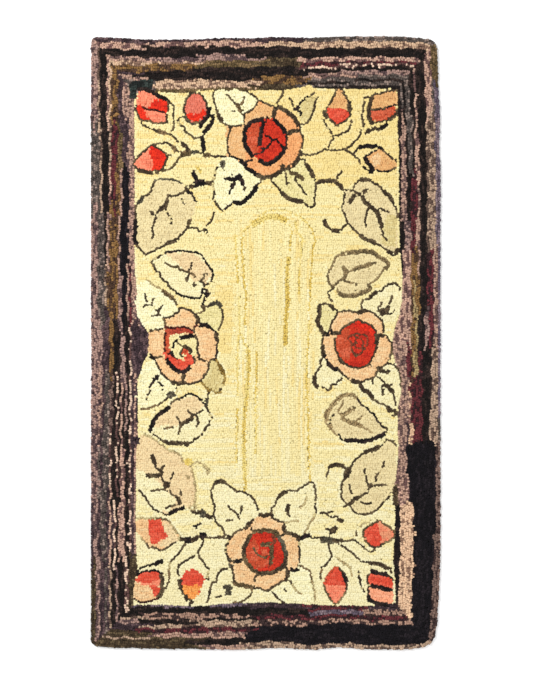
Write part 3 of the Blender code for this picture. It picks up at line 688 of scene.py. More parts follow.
rosePile = {
    "top": dict(
        fill="peach",
        edge=[("umber", 1, [(-43, 450), (-44, 462), (-41, 472), (-33, 477), (-24, 482), (-20, 491)]),
              ("umber", 1, [(-13, 498), (-4, 495), (6, 490), (16, 487)]),
              ("umber", 2, [(24, 486), (34, 482), (44, 475)]),
              ("umber", 2, [(50, 471), (59, 462), (65, 452), (68, 441)]),
              ("umber", 1, [(71, 434), (76, 425), (77, 412), (74, 400)]),
              ("umber", 2, [(72, 394), (70, 385)]),
              ("umber", 2, [(64, 374), (56, 365), (46, 360), (36, 358)]),
              ("umber", 2, [(31, 352), (20, 346), (8, 341), (-8, 342)]),
              ("black", 2, [(-18, 346), (-28, 353), (-37, 358)]), ("black", 2, [(-41, 366), (-44, 370)]),
              ("black", 1, [(-55, 375), (-64, 382), (-74, 384)]),
              ("umber", 1, [(-76, 392), (-78, 402), (-79, 412), (-77, 424), (-74, 436)]),
              ("umber", 1, [(-70, 445), (-56, 447), (-48, 447)])],
        spots=[("petal", [(-81, 378), (-81, 446), (-44, 450), (-44, 480), (-20, 494), (16, 488),
                          (12, 460), (-30, 455), (-44, 430), (-42, 400), (-40, 372)]),
               ("crimson", [(3, 462), (14, 460), (28, 449), (39, 437), (42, 420), (41, 403), (30, 385),
                            (14, 371), (0, 368), (-18, 378), (-28, 386), (-38, 400), (-44, 420),
                            (-42, 438), (-34, 450), (-18, 459)]),
               ("rust", [(-38, 438), (-30, 448), (-14, 456), (-14, 436), (-17, 415), (-15, 396),
                         (-26, 390), (-36, 402), (-40, 420)])],
        lines=[("black", 2, [(17, 459), (28, 449), (38, 438)]),
               ("black", 1, [(41, 430), (43, 420), (43, 410)]),
               ("black", 2, [(41, 404), (34, 390), (22, 378), (8, 369), (-4, 370), (-16, 377)]),
               ("black", 2, [(-27, 384), (-36, 397), (-43, 408), (-43, 424), (-42, 438),
                             (-33, 451), (-20, 458), (-8, 459), (4, 462)]),
               ("black", 2, [(-4, 455), (-8, 440), (-10, 428), (-12, 412), (-12, 403)]),
               ("black", 1, [(-1, 426), (7, 424), (14, 419), (23, 418), (29, 411), (34, 403)]),
               ("black", 1, [(-9, 401), (0, 400), (8, 408), (14, 416)]),
               ("black", 1, [(-26, 384), (-18, 389), (-9, 391), (-3, 397)]),
               ("umber", 2, [(20, 484), (18, 472), (14, 464)]),
               ("umber", 2, [(66, 437), (52, 434), (43, 428)]),
               ("black", 1, [(-44, 371), (-35, 375), (-26, 378)]), ("umber", 2, [(34, 366), (38, 357)])]),
    "left": dict(
        fill="shell",
        edge=[("umber", 1, [(-210, 51), (-202, 52), (-190, 56)]),
              ("umber", 1, [(-186, 61), (-180, 63), (-178, 71), (-170, 72), (-158, 68), (-149, 62)]),
              ("umber", 2, [(-143, 57), (-139, 48)]), (None, 0, [(-141, 40)]),
              ("black", 2, [(-136, 37), (-121, 36)]), ("black", 1, [(-115, 32), (-106, 25)]),
              ("umber", 2, [(-102, 20), (-101, 11)]), ("umber", 1, [(-98, 6), (-99, -1)]),
              ("black", 1, [(-101, -8), (-100, -20), (-102, -30)]),
              ("umber", 1, [(-106, -34), (-116, -36)]),
              ("umber", 1, [(-117, -42), (-118, -54), (-124, -65), (-131, -74), (-140, -81)]),
              ("umber", 1, [(-146, -82), (-160, -84)]), ("umber", 2, [(-166, -82), (-186, -83)]),
              ("umber", 1, [(-192, -79), (-202, -73), (-212, -65), (-217, -55)]),
              ("umber", 1, [(-222, -47), (-226, -38), (-225, -32)]),
              ("black", 2, [(-229, -30), (-239, -26)]), (None, 0, [(-241, -10), (-240, 8)]),
              ("umber", 1, [(-238, 22), (-226, 27), (-210, 29)])],
        spots=[("cream", [(-199, 21), (-150, 18), (-142, 0), (-141, -18), (-150, -32), (-180, -34),
                          (-200, -20)]),
               ("brick", [(-207, 31), (-188, 30), (-168, 31), (-150, 26), (-148, 20), (-160, 22),
                        (-176, 19), (-195, 18), (-206, 14)]),
               ("rust", [(-206, 16), (-198, 16), (-197, -17), (-206, -19)]),
               ("coral", [(-211, -20), (-203, -20), (-193, -27), (-176, -35), (-168, -37), (-163, -24),
                          (-155, -20), (-149, -30), (-147, -40), (-154, -47), (-162, -55),
                          (-173, -60), (-186, -53), (-198, -40), (-206, -30)]),
               ("rust", [(-171, -12), (-163, -10), (-158, -18), (-166, -26), (-173, -20)])],
        lines=[("wine", 1, [(-207, 33), (-195, 31), (-180, 32), (-168, 33), (-156, 29), (-148, 25)]),
               ("olive", 1, [(-210, 49), (-207, 40), (-206, 33)]),
               ("wine", 1, [(-207, 20), (-208, 0), (-207, -18)]),
               ("black", 2, [(-176, 10), (-162, 13), (-149, 16)]),
               ("umber", 1, [(-147, 30), (-145, 16), (-140, 4)]),
               ("umber", 1, [(-139, 0), (-141, -14), (-137, -26), (-141, -32)]),
               ("black", 1, [(-183, 6), (-188, 1), (-190, -9)]), ("black", 2, [(-196, -21), (-188, -19)]),
               ("olive", 1, [(-181, 0), (-174, -5), (-169, -8)]),
               ("umber", 2, [(-166, -8), (-158, -11), (-153, -20)]),
               ("umber", 1, [(-172, -13), (-176, -19), (-173, -27), (-168, -30)]),
               ("wine", 1, [(-201, -22), (-190, -27), (-178, -34)]),
               ("black", 2, [(-205, -34), (-198, -42)]),
               ("black", 2, [(-192, -49), (-183, -57), (-173, -60), (-162, -56), (-155, -48)]),
               ("umber", 1, [(-149, -29), (-146, -38), (-148, -45)]),
               ("umber", 1, [(-137, -33), (-126, -36), (-117, -36)]),
               ("umber", 2, [(-168, -65), (-169, -78)]),
               ("umber", 1, [(-226, -30), (-218, -28), (-212, -29)]),
               ("wine", 1, [(-148, 30), (-142, 36)])]),
    "right": dict(
        fill="shell",
        edge=[("umber", 1, [(148, 63), (156, 65), (166, 66), (178, 65)]), (None, 0, [(184, 63)]),
              ("umber", 2, [(189, 61), (197, 66)]), ("umber", 1, [(204, 66), (214, 65), (226, 58)]),
              ("umber", 1, [(233, 52), (240, 44), (243, 34), (242, 22)]),
              ("umber", 1, [(248, 13), (256, 4), (260, -10)]),
              ("umber", 1, [(258, -22), (255, -32), (249, -42), (240, -49)]),
              ("umber", 1, [(230, -50), (229, -58), (225, -68)]), ("umber", 1, [(218, -72), (206, -76)]),
              ("umber", 2, [(198, -81), (185, -80)]), ("umber", 1, [(176, -77), (166, -70), (156, -61)]),
              ("black", 2, [(150, -54), (140, -52), (131, -46)]), ("black", 1, [(127, -38), (123, -30)]),
              ("umber", 2, [(118, -24), (117, -10)]), ("umber", 1, [(116, -4), (117, 8), (119, 18)]),
              ("black", 2, [(125, 18), (133, 20)]),
              ("umber", 1, [(132, 28), (134, 38), (140, 49), (146, 59)])],
        spots=[("crimson", [(190, 48), (205, 41), (224, 30), (228, 12), (227, -10), (222, -28),
                            (210, -43), (190, -50), (168, -44), (152, -32), (144, -12), (143, 8),
                            (150, 22), (166, 35)]),
               ("red", [(190, 46), (206, 38), (222, 26), (224, 10), (212, 22), (196, 30), (180, 34)]),
               ("rust", [(150, 20), (162, 32), (174, 30), (172, 12), (176, -12), (172, -36), (156, -34),
                         (146, -14), (145, 6)])],
        lines=[("umber", 2, [(140, 21), (148, 20)]),
               ("umber", 1, [(152, 24), (163, 34), (176, 41), (190, 49)]),
               ("umber", 1, [(196, 45), (208, 40), (219, 34), (226, 24)]),
               ("umber", 2, [(228, 17), (229, 5)]),
               ("umber", 1, [(228, -2), (226, -15), (220, -30), (212, -43)]),
               ("umber", 1, [(206, -47), (194, -51), (178, -50), (164, -43)]),
               ("umber", 2, [(160, -41), (155, -38)]),
               ("umber", 1, [(151, -30), (145, -16), (142, 0), (144, 12)]),
               ("brownRed", 1, [(184, 19), (196, 18), (206, 15), (210, 4), (207, -6), (200, -15),
                                (192, -23), (182, -23), (177, -12), (177, 0), (171, 8), (172, 14),
                                (180, 17)]),
               ("brownRed", 1, [(186, 10), (196, 8), (201, 0), (198, -9), (188, -12), (183, -6),
                                (184, 2), (189, -1)]),
               ("olive", 2, [(183, -24), (190, -25)]), ("olive", 1, [(210, 8), (212, 2)]),
               ("umber", 1, [(229, -9), (234, -9)]), ("umber", 2, [(230, 16), (244, 15)]),
               ("umber", 1, [(213, -44), (221, -48)]), ("umber", 1, [(190, 60), (190, 56)])]),
    "bottom": dict(
        fill="shell",
        edge=[("umber", 2, [(-13, -353), (-4, -354)]), ("umber", 2, [(3, -353), (11, -354)]),
              ("umber", 1, [(15, -360), (26, -365), (36, -370)]),
              ("umber", 2, [(38, -376), (38, -387), (47, -391)]), ("umber", 2, [(52, -392), (66, -399)]),
              ("dots", 1, [(68, -406), (69, -420), (70, -440), (69, -450)]),
              ("black", 2, [(66, -465), (58, -467), (49, -465)]), ("umber", 2, [(45, -468), (45, -482)]),
              ("umber", 1, [(40, -487), (28, -494), (17, -500)]),
              ("umber", 1, [(8, -507), (-4, -509), (-14, -504)]),
              ("olive", 2, [(-24, -503), (-44, -499), (-60, -496)]),
              ("umber", 1, [(-66, -490), (-66, -478), (-68, -466)]),
              ("moss", 2, [(-70, -461), (-73, -454)]),
              ("dots", 1, [(-76, -442), (-82, -430), (-81, -418), (-77, -408)]),
              ("umber", 1, [(-73, -401), (-66, -393), (-57, -386), (-48, -382)]),
              ("umber", 2, [(-42, -381), (-36, -374)]), ("umber", 1, [(-31, -368), (-24, -362)])],
        spots=[("crimson", [(-30, -392), (-10, -386), (14, -387), (28, -400), (37, -418), (40, -440),
                            (33, -461), (14, -471), (-8, -473), (-30, -464), (-44, -444),
                            (-45, -424), (-38, -406)]),
               ("rust", [(-34, -412), (-22, -400), (-16, -418), (-14, -436), (4, -440), (6, -456),
                         (-14, -466), (-36, -450), (-42, -432)]),
               ("rust", [(-10, -424), (4, -424), (6, -436), (-8, -438)])],
        lines=[("olive", 2, [(-26, -389), (-10, -386), (8, -386), (20, -389)]),
               ("moss", 2, [(27, -399), (35, -412), (39, -426)]),
               ("umber", 2, [(42, -436), (41, -448), (36, -459)]),
               ("umber", 2, [(30, -464), (16, -471), (0, -473), (-14, -474)]),
               ("olive", 2, [(-24, -468), (-34, -458), (-42, -446)]),
               ("umber", 2, [(-45, -437), (-44, -422), (-38, -408)]),
               ("olive", 2, [(-35, -401), (-30, -394)]), ("brownRed", 2, [(18, -396), (16, -414)]),
               ("olive", 2, [(-10, -415), (0, -414), (11, -414)]),
               ("olive", 2, [(12, -420), (12, -436), (11, -448)]),
               ("brownRed", 1, [(11, -454), (6, -462)]),
               ("olive", 1, [(-26, -420), (-20, -430), (-12, -438), (-2, -441), (7, -438)]),
               ("umber", 1, [(-29, -380), (-29, -387)]), ("umber", 1, [(-75, -446), (-68, -450)]),
               ("black", 2, [(-66, -450), (-56, -449)]), ("umber", 1, [(-50, -447), (-46, -442)]),
               ("umber", 1, [(-16, -475), (-22, -482), (-23, -494)]),
               ("umber", 1, [(33, -396), (44, -389)]), ("umber", 1, [(38, -460), (46, -464)])]),
}

budPile = {
    "topLeftCorner": dict(
        fill="salmon",
        edge=[("black", 2, [(-262, 521), (-246, 521), (-234, 517)]),
              ("black", 2, [(-227, 511), (-216, 506), (-207, 502)]),
              ("umber", 1, [(-203, 498), (-200, 488), (-202, 476), (-204, 464), (-203, 453)]),
              ("olive", 1, [(-212, 452), (-228, 452), (-238, 456)]),
              ("umber", 1, [(-248, 456), (-256, 459), (-262, 467), (-267, 480)]),
              (None, 0, [(-266, 490), (-263, 505)])],
        spots=[("red", [(-228, 500), (-214, 503), (-204, 499), (-201, 487), (-204, 475), (-218, 474),
                        (-230, 480), (-240, 485), (-234, 494)]),
               ("red", [(-264, 490), (-256, 491), (-250, 479), (-244, 468), (-237, 459), (-246, 456),
                        (-258, 461), (-266, 474)])],
        lines=[("wine", 1, [(-252, 484), (-243, 480), (-230, 480), (-218, 476), (-206, 475)])]),
    "topLeftUpper": dict(
        fill="pink",
        edge=[("umber", 1, [(-146, 515), (-156, 511), (-163, 499), (-168, 484), (-166, 471)]),
              ("olive", 1, [(-163, 464), (-155, 455), (-143, 453), (-134, 456)]),
              ("black", 1, [(-128, 461), (-122, 471)]),
              ("umber", 1, [(-120, 483), (-124, 498), (-132, 510), (-138, 514)])],
        spots=[("red", [(-164, 468), (-156, 474), (-148, 470), (-138, 472), (-128, 479), (-122, 474),
                        (-130, 461), (-146, 456), (-158, 459)])],
        lines=[("black", 2, [(-116, 484), (-118, 470), (-124, 460)]),
               ("black", 2, [(-131, 452), (-137, 442)]),
               ("moss", 1, [(-170, 466), (-160, 456), (-150, 450), (-142, 449)])]),
    "topLeftLower": dict(
        fill="salmon",
        edge=[("umber", 1, [(-271, 372), (-260, 385), (-248, 395), (-234, 406)]),
              ("umber", 1, [(-226, 403), (-214, 396), (-204, 386)]),
              ("umber", 1, [(-203, 377), (-208, 367), (-213, 357)]),
              ("umber", 2, [(-222, 351), (-240, 351), (-256, 354)]),
              ("umber", 1, [(-263, 358), (-270, 364)])],
        spots=[("red", [(-240, 400), (-231, 406), (-218, 400), (-206, 387), (-204, 377), (-211, 360),
                        (-220, 352), (-236, 352), (-233, 370), (-236, 386)])],
        lines=[]),
    "topRightUpper": dict(
        fill="peachPale",
        edge=[("umber", 1, [(146, 522), (141, 509), (136, 498), (129, 488), (125, 480)]),
              ("umber", 2, [(122, 477), (122, 469)]), ("umber", 1, [(128, 463), (136, 457), (143, 450)]),
              ("umber", 1, [(150, 449), (158, 453), (166, 459)]), ("umber", 1, [(171, 464), (174, 470)]),
              ("umber", 2, [(173, 476), (172, 489)]),
              ("umber", 1, [(171, 496), (166, 505), (161, 514), (158, 521)])],
        spots=[("coral", [(126, 481), (140, 481), (168, 480), (169, 466), (159, 457), (148, 450),
                          (139, 456), (127, 466), (124, 474)])],
        lines=[("olive", 2, [(144, 448), (147, 444)])]),
    "topRightCorner": dict(
        fill="peachPale",
        edge=[("umber", 1, [(268, 520), (250, 518), (240, 514), (226, 512)]),
              ("umber", 2, [(219, 507), (214, 490)]), ("umber", 2, [(213, 482), (212, 466), (216, 456)]),
              ("umber", 1, [(222, 452), (232, 454), (246, 458)]), ("umber", 2, [(252, 458), (264, 466)]),
              ("umber", 1, [(268, 472), (270, 482)]), (None, 0, [(270, 500)])],
        spots=[("rust", [(214, 477), (228, 478), (240, 478), (254, 484), (266, 487), (268, 476),
                          (262, 466), (250, 460), (236, 456), (220, 458)])],
        lines=[("umber", 1, [(217, 480), (228, 480), (241, 481)]),
               ("black", 1, [(247, 484), (257, 487), (268, 490)])]),
    "topRightLower": dict(
        fill="peachPale",
        edge=[("black", 1, [(205, 383), (212, 388), (222, 393), (230, 398), (234, 404)]),
              ("umber", 1, [(237, 401), (248, 390), (258, 382), (266, 376)]), (None, 0, [(271, 370)]),
              ("umber", 1, [(267, 360), (258, 356)]), ("black", 1, [(252, 353), (238, 353), (226, 355)]),
              ("black", 2, [(218, 359), (210, 371), (205, 380)])],
        spots=[("shell", [(216, 384), (232, 390), (238, 380), (234, 366), (222, 362)])],
        lines=[("black", 3, [(218, 355), (219, 350)])]),
    "bottomLeftUpper": dict(
        fill="shell",
        edge=[("haze", 1, [(-264, -360), (-250, -360), (-236, -361)]),
              ("taupe", 1, [(-228, -361), (-212, -361), (-200, -366)]),
              ("haze", 1, [(-196, -370), (-188, -382), (-182, -392), (-177, -398)]),
              (None, 0, [(-180, -408)]),
              ("umber", 1, [(-186, -409), (-196, -416)]),
              ("umber", 1, [(-202, -421), (-213, -426), (-225, -423)]),
              ("umber", 1, [(-231, -419), (-239, -420)]), ("haze", 1, [(-246, -412), (-258, -398)]),
              (None, 0, [(-266, -385)])],
        spots=[("leafPink", [(-211, -372), (-198, -370), (-182, -392), (-182, -405), (-204, -420),
                         (-220, -420), (-206, -400)]),
               ("coral", [(-240, -364), (-218, -364), (-210, -376), (-208, -388), (-202, -396),
                          (-206, -405), (-217, -406), (-224, -413), (-234, -414), (-240, -398)])],
        lines=[]),
    "bottomLeftCorner": dict(
        fill="shell",
        edge=[("black", 1, [(-264, -476), (-254, -471), (-240, -468), (-222, -469)]),
              ("umber", 2, [(-215, -474), (-213, -486)]),
              ("umber", 2, [(-213, -496), (-213, -510), (-218, -520)]),
              ("wine", 1, [(-224, -525), (-234, -530), (-248, -533), (-262, -532)]),
              (None, 0, [(-270, -524), (-270, -490)])],
        spots=[("salmon", [(-266, -488), (-216, -488), (-214, -500), (-240, -498), (-266, -494)]),
               ("coral", [(-262, -478), (-248, -471), (-224, -470), (-216, -476), (-222, -486),
                          (-236, -492), (-256, -491), (-266, -486)]),
               ("coral", [(-242, -500), (-228, -499), (-217, -502), (-217, -513), (-224, -522),
                          (-231, -520), (-234, -508)])],
        lines=[]),
    "bottomLeftLower": dict(
        fill="coral",
        edge=[(None, 0, [(-150, -464), (-163, -468), (-172, -478)]),
              ("umber", 2, [(-177, -487), (-176, -498)]), ("umber", 1, [(-174, -505), (-170, -516)]),
              ("umber", 2, [(-166, -521), (-157, -531)]),
              (None, 0, [(-148, -528), (-138, -516), (-129, -498), (-126, -486), (-131, -475),
                         (-140, -468)])],
        spots=[("apricot", [(-172, -497), (-160, -499), (-146, -497), (-131, -498), (-138, -515),
                            (-148, -528), (-160, -524), (-168, -512)])],
        lines=[("umber", 2, [(-154, -534), (-152, -539)])]),
    "bottomRightUpper": dict(
        fill="salmonPink",
        edge=[("olive", 1, [(201, -397), (201, -388), (207, -379), (218, -373), (227, -368)]),
              ("taupe", 1, [(233, -364), (242, -370), (249, -376), (258, -381), (265, -390)]),
              ("taupe", 1, [(263, -400), (256, -406), (246, -411)]),
              ("umber", 1, [(240, -413), (232, -419), (218, -419)]),
              ("olive", 1, [(212, -413), (205, -406)])],
        spots=[("coral", [(205, -386), (216, -375), (230, -373), (233, -382), (233, -394), (238, -402),
                          (236, -414), (222, -417), (212, -410), (205, -400)])],
        lines=[]),
    "bottomRightLower": dict(
        fill="salmon",
        edge=[("rust", 1, [(120, -492), (127, -479), (135, -468), (143, -462)]),
              ("umber", 1, [(150, -462), (156, -468)]), ("black", 2, [(159, -473), (164, -484)]),
              ("umber", 1, [(166, -490), (166, -502)]),
              ("taupe", 1, [(163, -514), (157, -524), (150, -533), (142, -537)]),
              ("olive", 1, [(135, -530), (128, -518), (121, -504)])],
        spots=[("coral", [(122, -497), (128, -480), (141, -464), (152, -466), (163, -484), (164, -498),
                          (145, -500)])],
        lines=[]),
    "bottomRightCorner": dict(
        fill="rosyPeach",
        edge=[("black", 2, [(217, -470), (228, -472), (242, -475)]),
              ("umber", 1, [(250, -477), (258, -482), (263, -490)]), (None, 0, [(264, -505), (264, -520)]),
              (None, 0, [(260, -534)]),
              ("black", 2, [(250, -537), (236, -537), (224, -533), (213, -529)]),
              ("dots", 1, [(211, -518), (211, -506)]),
              ("umber", 1, [(212, -498), (209, -490), (210, -478)])],
        spots=[("coral", [(211, -474), (228, -476), (246, -478), (260, -486), (262, -500), (250, -503),
                          (232, -499), (212, -494)])],
        lines=[("black", 2, [(217, -499), (232, -502), (246, -506), (260, -507)]),
               ("whey", 1, [(214, -462), (228, -464), (244, -467), (252, -469)])]),
}

# Stems, calyxes and tendrils
vinePile = {
    "topLeftCornerStem": [
        ("umber", 1, [(-256, 458), (-253, 449)]),
        ("umber", 1, [(-250, 446), (-240, 443), (-231, 439), (-226, 435)]),
        ("olive", 2, [(-222, 435), (-212, 433)]),
        ("umber", 1, [(-206, 431), (-196, 429), (-188, 423), (-180, 415)]),
        ("umber", 2, [(-173, 411), (-163, 403)]), ("umber", 1, [(-159, 396), (-150, 392)]),
        ("umber", 1, [(-200, 500), (-196, 493), (-189, 484), (-190, 470), (-189, 452), (-191, 438),
                      (-198, 431)])],
    "topLeftUpperStem": [
        ("black", 2, [(-130, 423), (-129, 410), (-126, 393)]),
        ("dots", 1, [(-176, 464), (-181, 459), (-174, 448)]),
        ("umber", 1, [(-170, 446), (-163, 433), (-152, 426), (-145, 421), (-134, 423)]),
        ("black", 2, [(-109, 468), (-110, 456)]), ("black", 2, [(-113, 449), (-122, 438)]),
        ("black", 1, [(-126, 432), (-129, 424)])],
    "topLeftMainStem": [
        ("olive", 3, [(-174, 388), (-162, 390)]), ("moss", 2, [(-156, 392), (-146, 392)]),
        ("umber", 1, [(-140, 392), (-130, 390)]), ("olive", 2, [(-127, 387), (-119, 386)]),
        ("umber", 1, [(-114, 386), (-104, 383)]), ("black", 1, [(-99, 384), (-88, 383), (-78, 384)])],
    "topLeftLowerCalyx": [
        ("umber", 1, [(-233, 407), (-220, 409), (-207, 412), (-197, 408)]),
        ("olive", 2, [(-192, 404), (-187, 400)]), ("umber", 1, [(-184, 394), (-175, 391)]),
        ("olive", 1, [(-216, 352), (-205, 355), (-195, 358), (-187, 368), (-178, 379), (-170, 386)]),
        ("umber", 1, [(-200, 386), (-193, 385)])],
    "upperLeftStem": [
        ("umber", 2, [(-164, 318), (-154, 321)]), ("black", 3, [(-148, 325), (-132, 330)]),
        ("umber", 2, [(-124, 329), (-106, 328)]), ("black", 2, [(-144, 337), (-150, 353)]),
        ("black", 2, [(-160, 315), (-156, 308)])],
    "upperLeftTendril": [
        ("umber", 1, [(-160, 238), (-150, 236), (-141, 236), (-137, 231), (-129, 231)]),
        ("black", 2, [(-126, 234), (-122, 226)]),
        ("umber", 1, [(-122, 241), (-114, 249), (-108, 261), (-106, 269)]),
        ("dots", 1, [(-118, 220), (-116, 218)])],
    "topRightStem": [
        ("umber", 1, [(74, 387), (90, 387), (104, 389), (114, 394), (122, 397)]),
        ("umber", 1, [(128, 397), (145, 396), (158, 398)]),
        ("umber", 1, [(162, 399), (170, 403), (177, 407)]),
        ("umber", 1, [(179, 411), (190, 421), (195, 430), (195, 440)]),
        ("umber", 1, [(163, 397), (172, 392), (181, 388), (185, 381), (191, 377)]),
        ("dots", 1, [(195, 371), (196, 364)])],
    "topRightUpperCalyx": [
        ("umber", 1, [(139, 426), (138, 418), (132, 411), (128, 400), (123, 395)]),
        ("dots", 1, [(120, 459), (126, 444)]), ("umber", 1, [(131, 438), (140, 427), (150, 428)]),
        ("umber", 1, [(153, 429), (163, 433), (171, 439), (174, 448), (176, 460)]),
        ("umber", 1, [(170, 441), (173, 445)])],
    "topRightCornerCalyx": [
        ("umber", 1, [(203, 503), (210, 506), (217, 508), (224, 512)]),
        ("umber", 1, [(203, 496), (200, 480), (199, 465), (200, 452)]),
        ("umber", 2, [(200, 447), (205, 448)]), ("black", 2, [(250, 451), (242, 444)]),
        ("umber", 2, [(236, 440), (220, 440), (211, 436)]), ("umber", 1, [(208, 433), (203, 430)])],
    "topRightLowerCalyx": [
        ("black", 1, [(183, 391), (188, 398)]),
        ("black", 2, [(193, 402), (205, 405), (218, 404), (232, 406)]),
        ("black", 1, [(200, 363), (206, 357), (212, 353)])],
    "upperRightStem": [
        ("umber", 2, [(104, 329), (114, 332), (130, 333), (142, 333)]),
        ("umber", 2, [(147, 329), (155, 321)]), ("umber", 1, [(159, 316), (170, 314), (178, 313)]),
        ("umber", 1, [(147, 338), (151, 347), (158, 353)])],
    "upperRightTendril": [
        ("umber", 2, [(119, 252), (123, 244)]), ("umber", 1, [(127, 239), (133, 234)]),
        ("umber", 2, [(137, 232), (148, 230)]), ("umber", 1, [(153, 230), (159, 237), (165, 244)])],
    "leftMidStem": [
        ("black", 3, [(-125, 110), (-126, 99)]), ("umber", 2, [(-119, 103), (-114, 105)]),
        ("black", 1, [(-125, 96), (-125, 88), (-131, 83)]),
        ("olive", 1, [(-124, 75), (-124, 69), (-131, 64)])],
    "rightMidStem": [
        ("umber", 1, [(140, 113), (133, 108), (128, 102), (131, 95), (137, 83)])],
    "leftLowerStem": [
        ("umber", 1, [(-117, -100), (-118, -107)]), ("moss", 2, [(-121, -114), (-123, -124)]),
        ("umber", 1, [(-123, -130), (-118, -138), (-116, -149)])],
    "rightLowerStem": [
        ("umber", 2, [(195, -84), (198, -93)]), ("umber", 3, [(262, -144), (270, -147)])],
    "bottomLeftStem": [
        ("umber", 2, [(-177, -401), (-168, -405)]), ("black", 3, [(-166, -405), (-158, -405)]),
        ("umber", 2, [(-154, -405), (-146, -404)]), ("black", 3, [(-137, -396), (-129, -396)]),
        ("umber", 1, [(-124, -399), (-105, -401)]), ("umber", 2, [(-98, -400), (-80, -398)]),
        ("umber", 1, [(-74, -398), (-70, -402)]), ("black", 1, [(-148, -377), (-141, -374), (-131, -371)]),
        ("black", 1, [(-142, -378), (-143, -384)])],
    "bottomLeftCornerStem": [
        ("umber", 1, [(-160, -409), (-170, -419), (-178, -432), (-188, -441), (-195, -449)]),
        ("haze", 1, [(-198, -452), (-198, -463)]),
        ("olive", 1, [(-200, -468), (-198, -478), (-200, -490), (-206, -504)]),
        ("black", 2, [(-212, -448), (-222, -452)]),
        ("black", 1, [(-228, -455), (-242, -457), (-252, -461)]),
        ("black", 1, [(-258, -464), (-265, -472)])],
    "bottomLeftLowerStem": [
        ("umber", 1, [(-129, -402), (-130, -414)]),
        ("umber", 1, [(-136, -421), (-138, -432), (-135, -443), (-127, -451), (-123, -460)]),
        ("dots", 1, [(-117, -464), (-119, -474)]), ("umber", 2, [(-119, -482), (-119, -487)]),
        ("dots", 1, [(-143, -437), (-156, -443), (-167, -449), (-178, -456), (-179, -462)]),
        ("umber", 1, [(-181, -474), (-177, -480)])],
    "bottomLeftArc": [
        ("umber", 2, [(-151, -345), (-142, -349)]), ("moss", 3, [(-134, -343), (-131, -351)]),
        ("umber", 2, [(-124, -354), (-108, -360)])],
    "bottomLeftTendril": [
        ("haze", 1, [(-150, -251), (-144, -246), (-137, -244)]),
        ("haze", 2, [(-127, -252), (-121, -260), (-115, -270)])],
    "bottomRightStem": [
        ("black", 2, [(73, -402), (79, -398)]), ("black", 2, [(80, -397), (89, -396)]),
        ("umber", 1, [(93, -400), (108, -401)]), ("moss", 3, [(114, -404), (132, -406)]),
        ("umber", 2, [(138, -405), (152, -407)]), ("umber", 1, [(158, -407), (172, -407), (181, -403)]),
        ("umber", 1, [(131, -399), (134, -392)]), ("umber", 3, [(136, -389), (140, -382)]),
        ("umber", 1, [(141, -378), (145, -374)]), ("umber", 1, [(124, -382), (132, -384)])],
    "bottomRightArc": [
        ("umber", 1, [(112, -350), (124, -349), (142, -346)]),
        ("umber", 1, [(125, -352), (133, -357), (145, -357)]), ("umber", 2, [(149, -362), (159, -368)])],
    "bottomRightCornerStem": [
        ("umber", 1, [(148, -410), (160, -419), (174, -428)]),
        ("umber", 1, [(182, -436), (190, -443), (200, -450), (210, -450)]),
        ("umber", 2, [(214, -452), (228, -454), (240, -457), (252, -464)]),
        ("umber", 1, [(256, -467), (259, -475)]),
        ("dots", 1, [(192, -470), (193, -486), (196, -499), (204, -514)])],
    "bottomRightUpperCalyx": [
        ("umber", 1, [(184, -405), (195, -415), (206, -424), (218, -429), (226, -422)]),
        ("haze", 1, [(195, -376), (203, -371), (215, -370)]), ("olive", 1, [(187, -386), (187, -396)])],
    "bottomRightLowerStem": [
        ("umber", 1, [(128, -414), (132, -426), (135, -437), (131, -446), (123, -456)]),
        ("olive", 1, [(115, -463), (113, -478)]), ("dots", 1, [(115, -486), (118, -490)]),
        ("haze", 1, [(145, -441), (158, -450), (161, -456)]),
        ("haze", 1, [(168, -456), (175, -466), (177, -480)])],
    "bottomRightTendril": [
        ("umber", 1, [(125, -274), (129, -263)]),
        ("umber", 2, [(131, -257), (138, -251), (150, -251), (160, -254)]),
        ("umber", 1, [(162, -258), (167, -265)])],
}

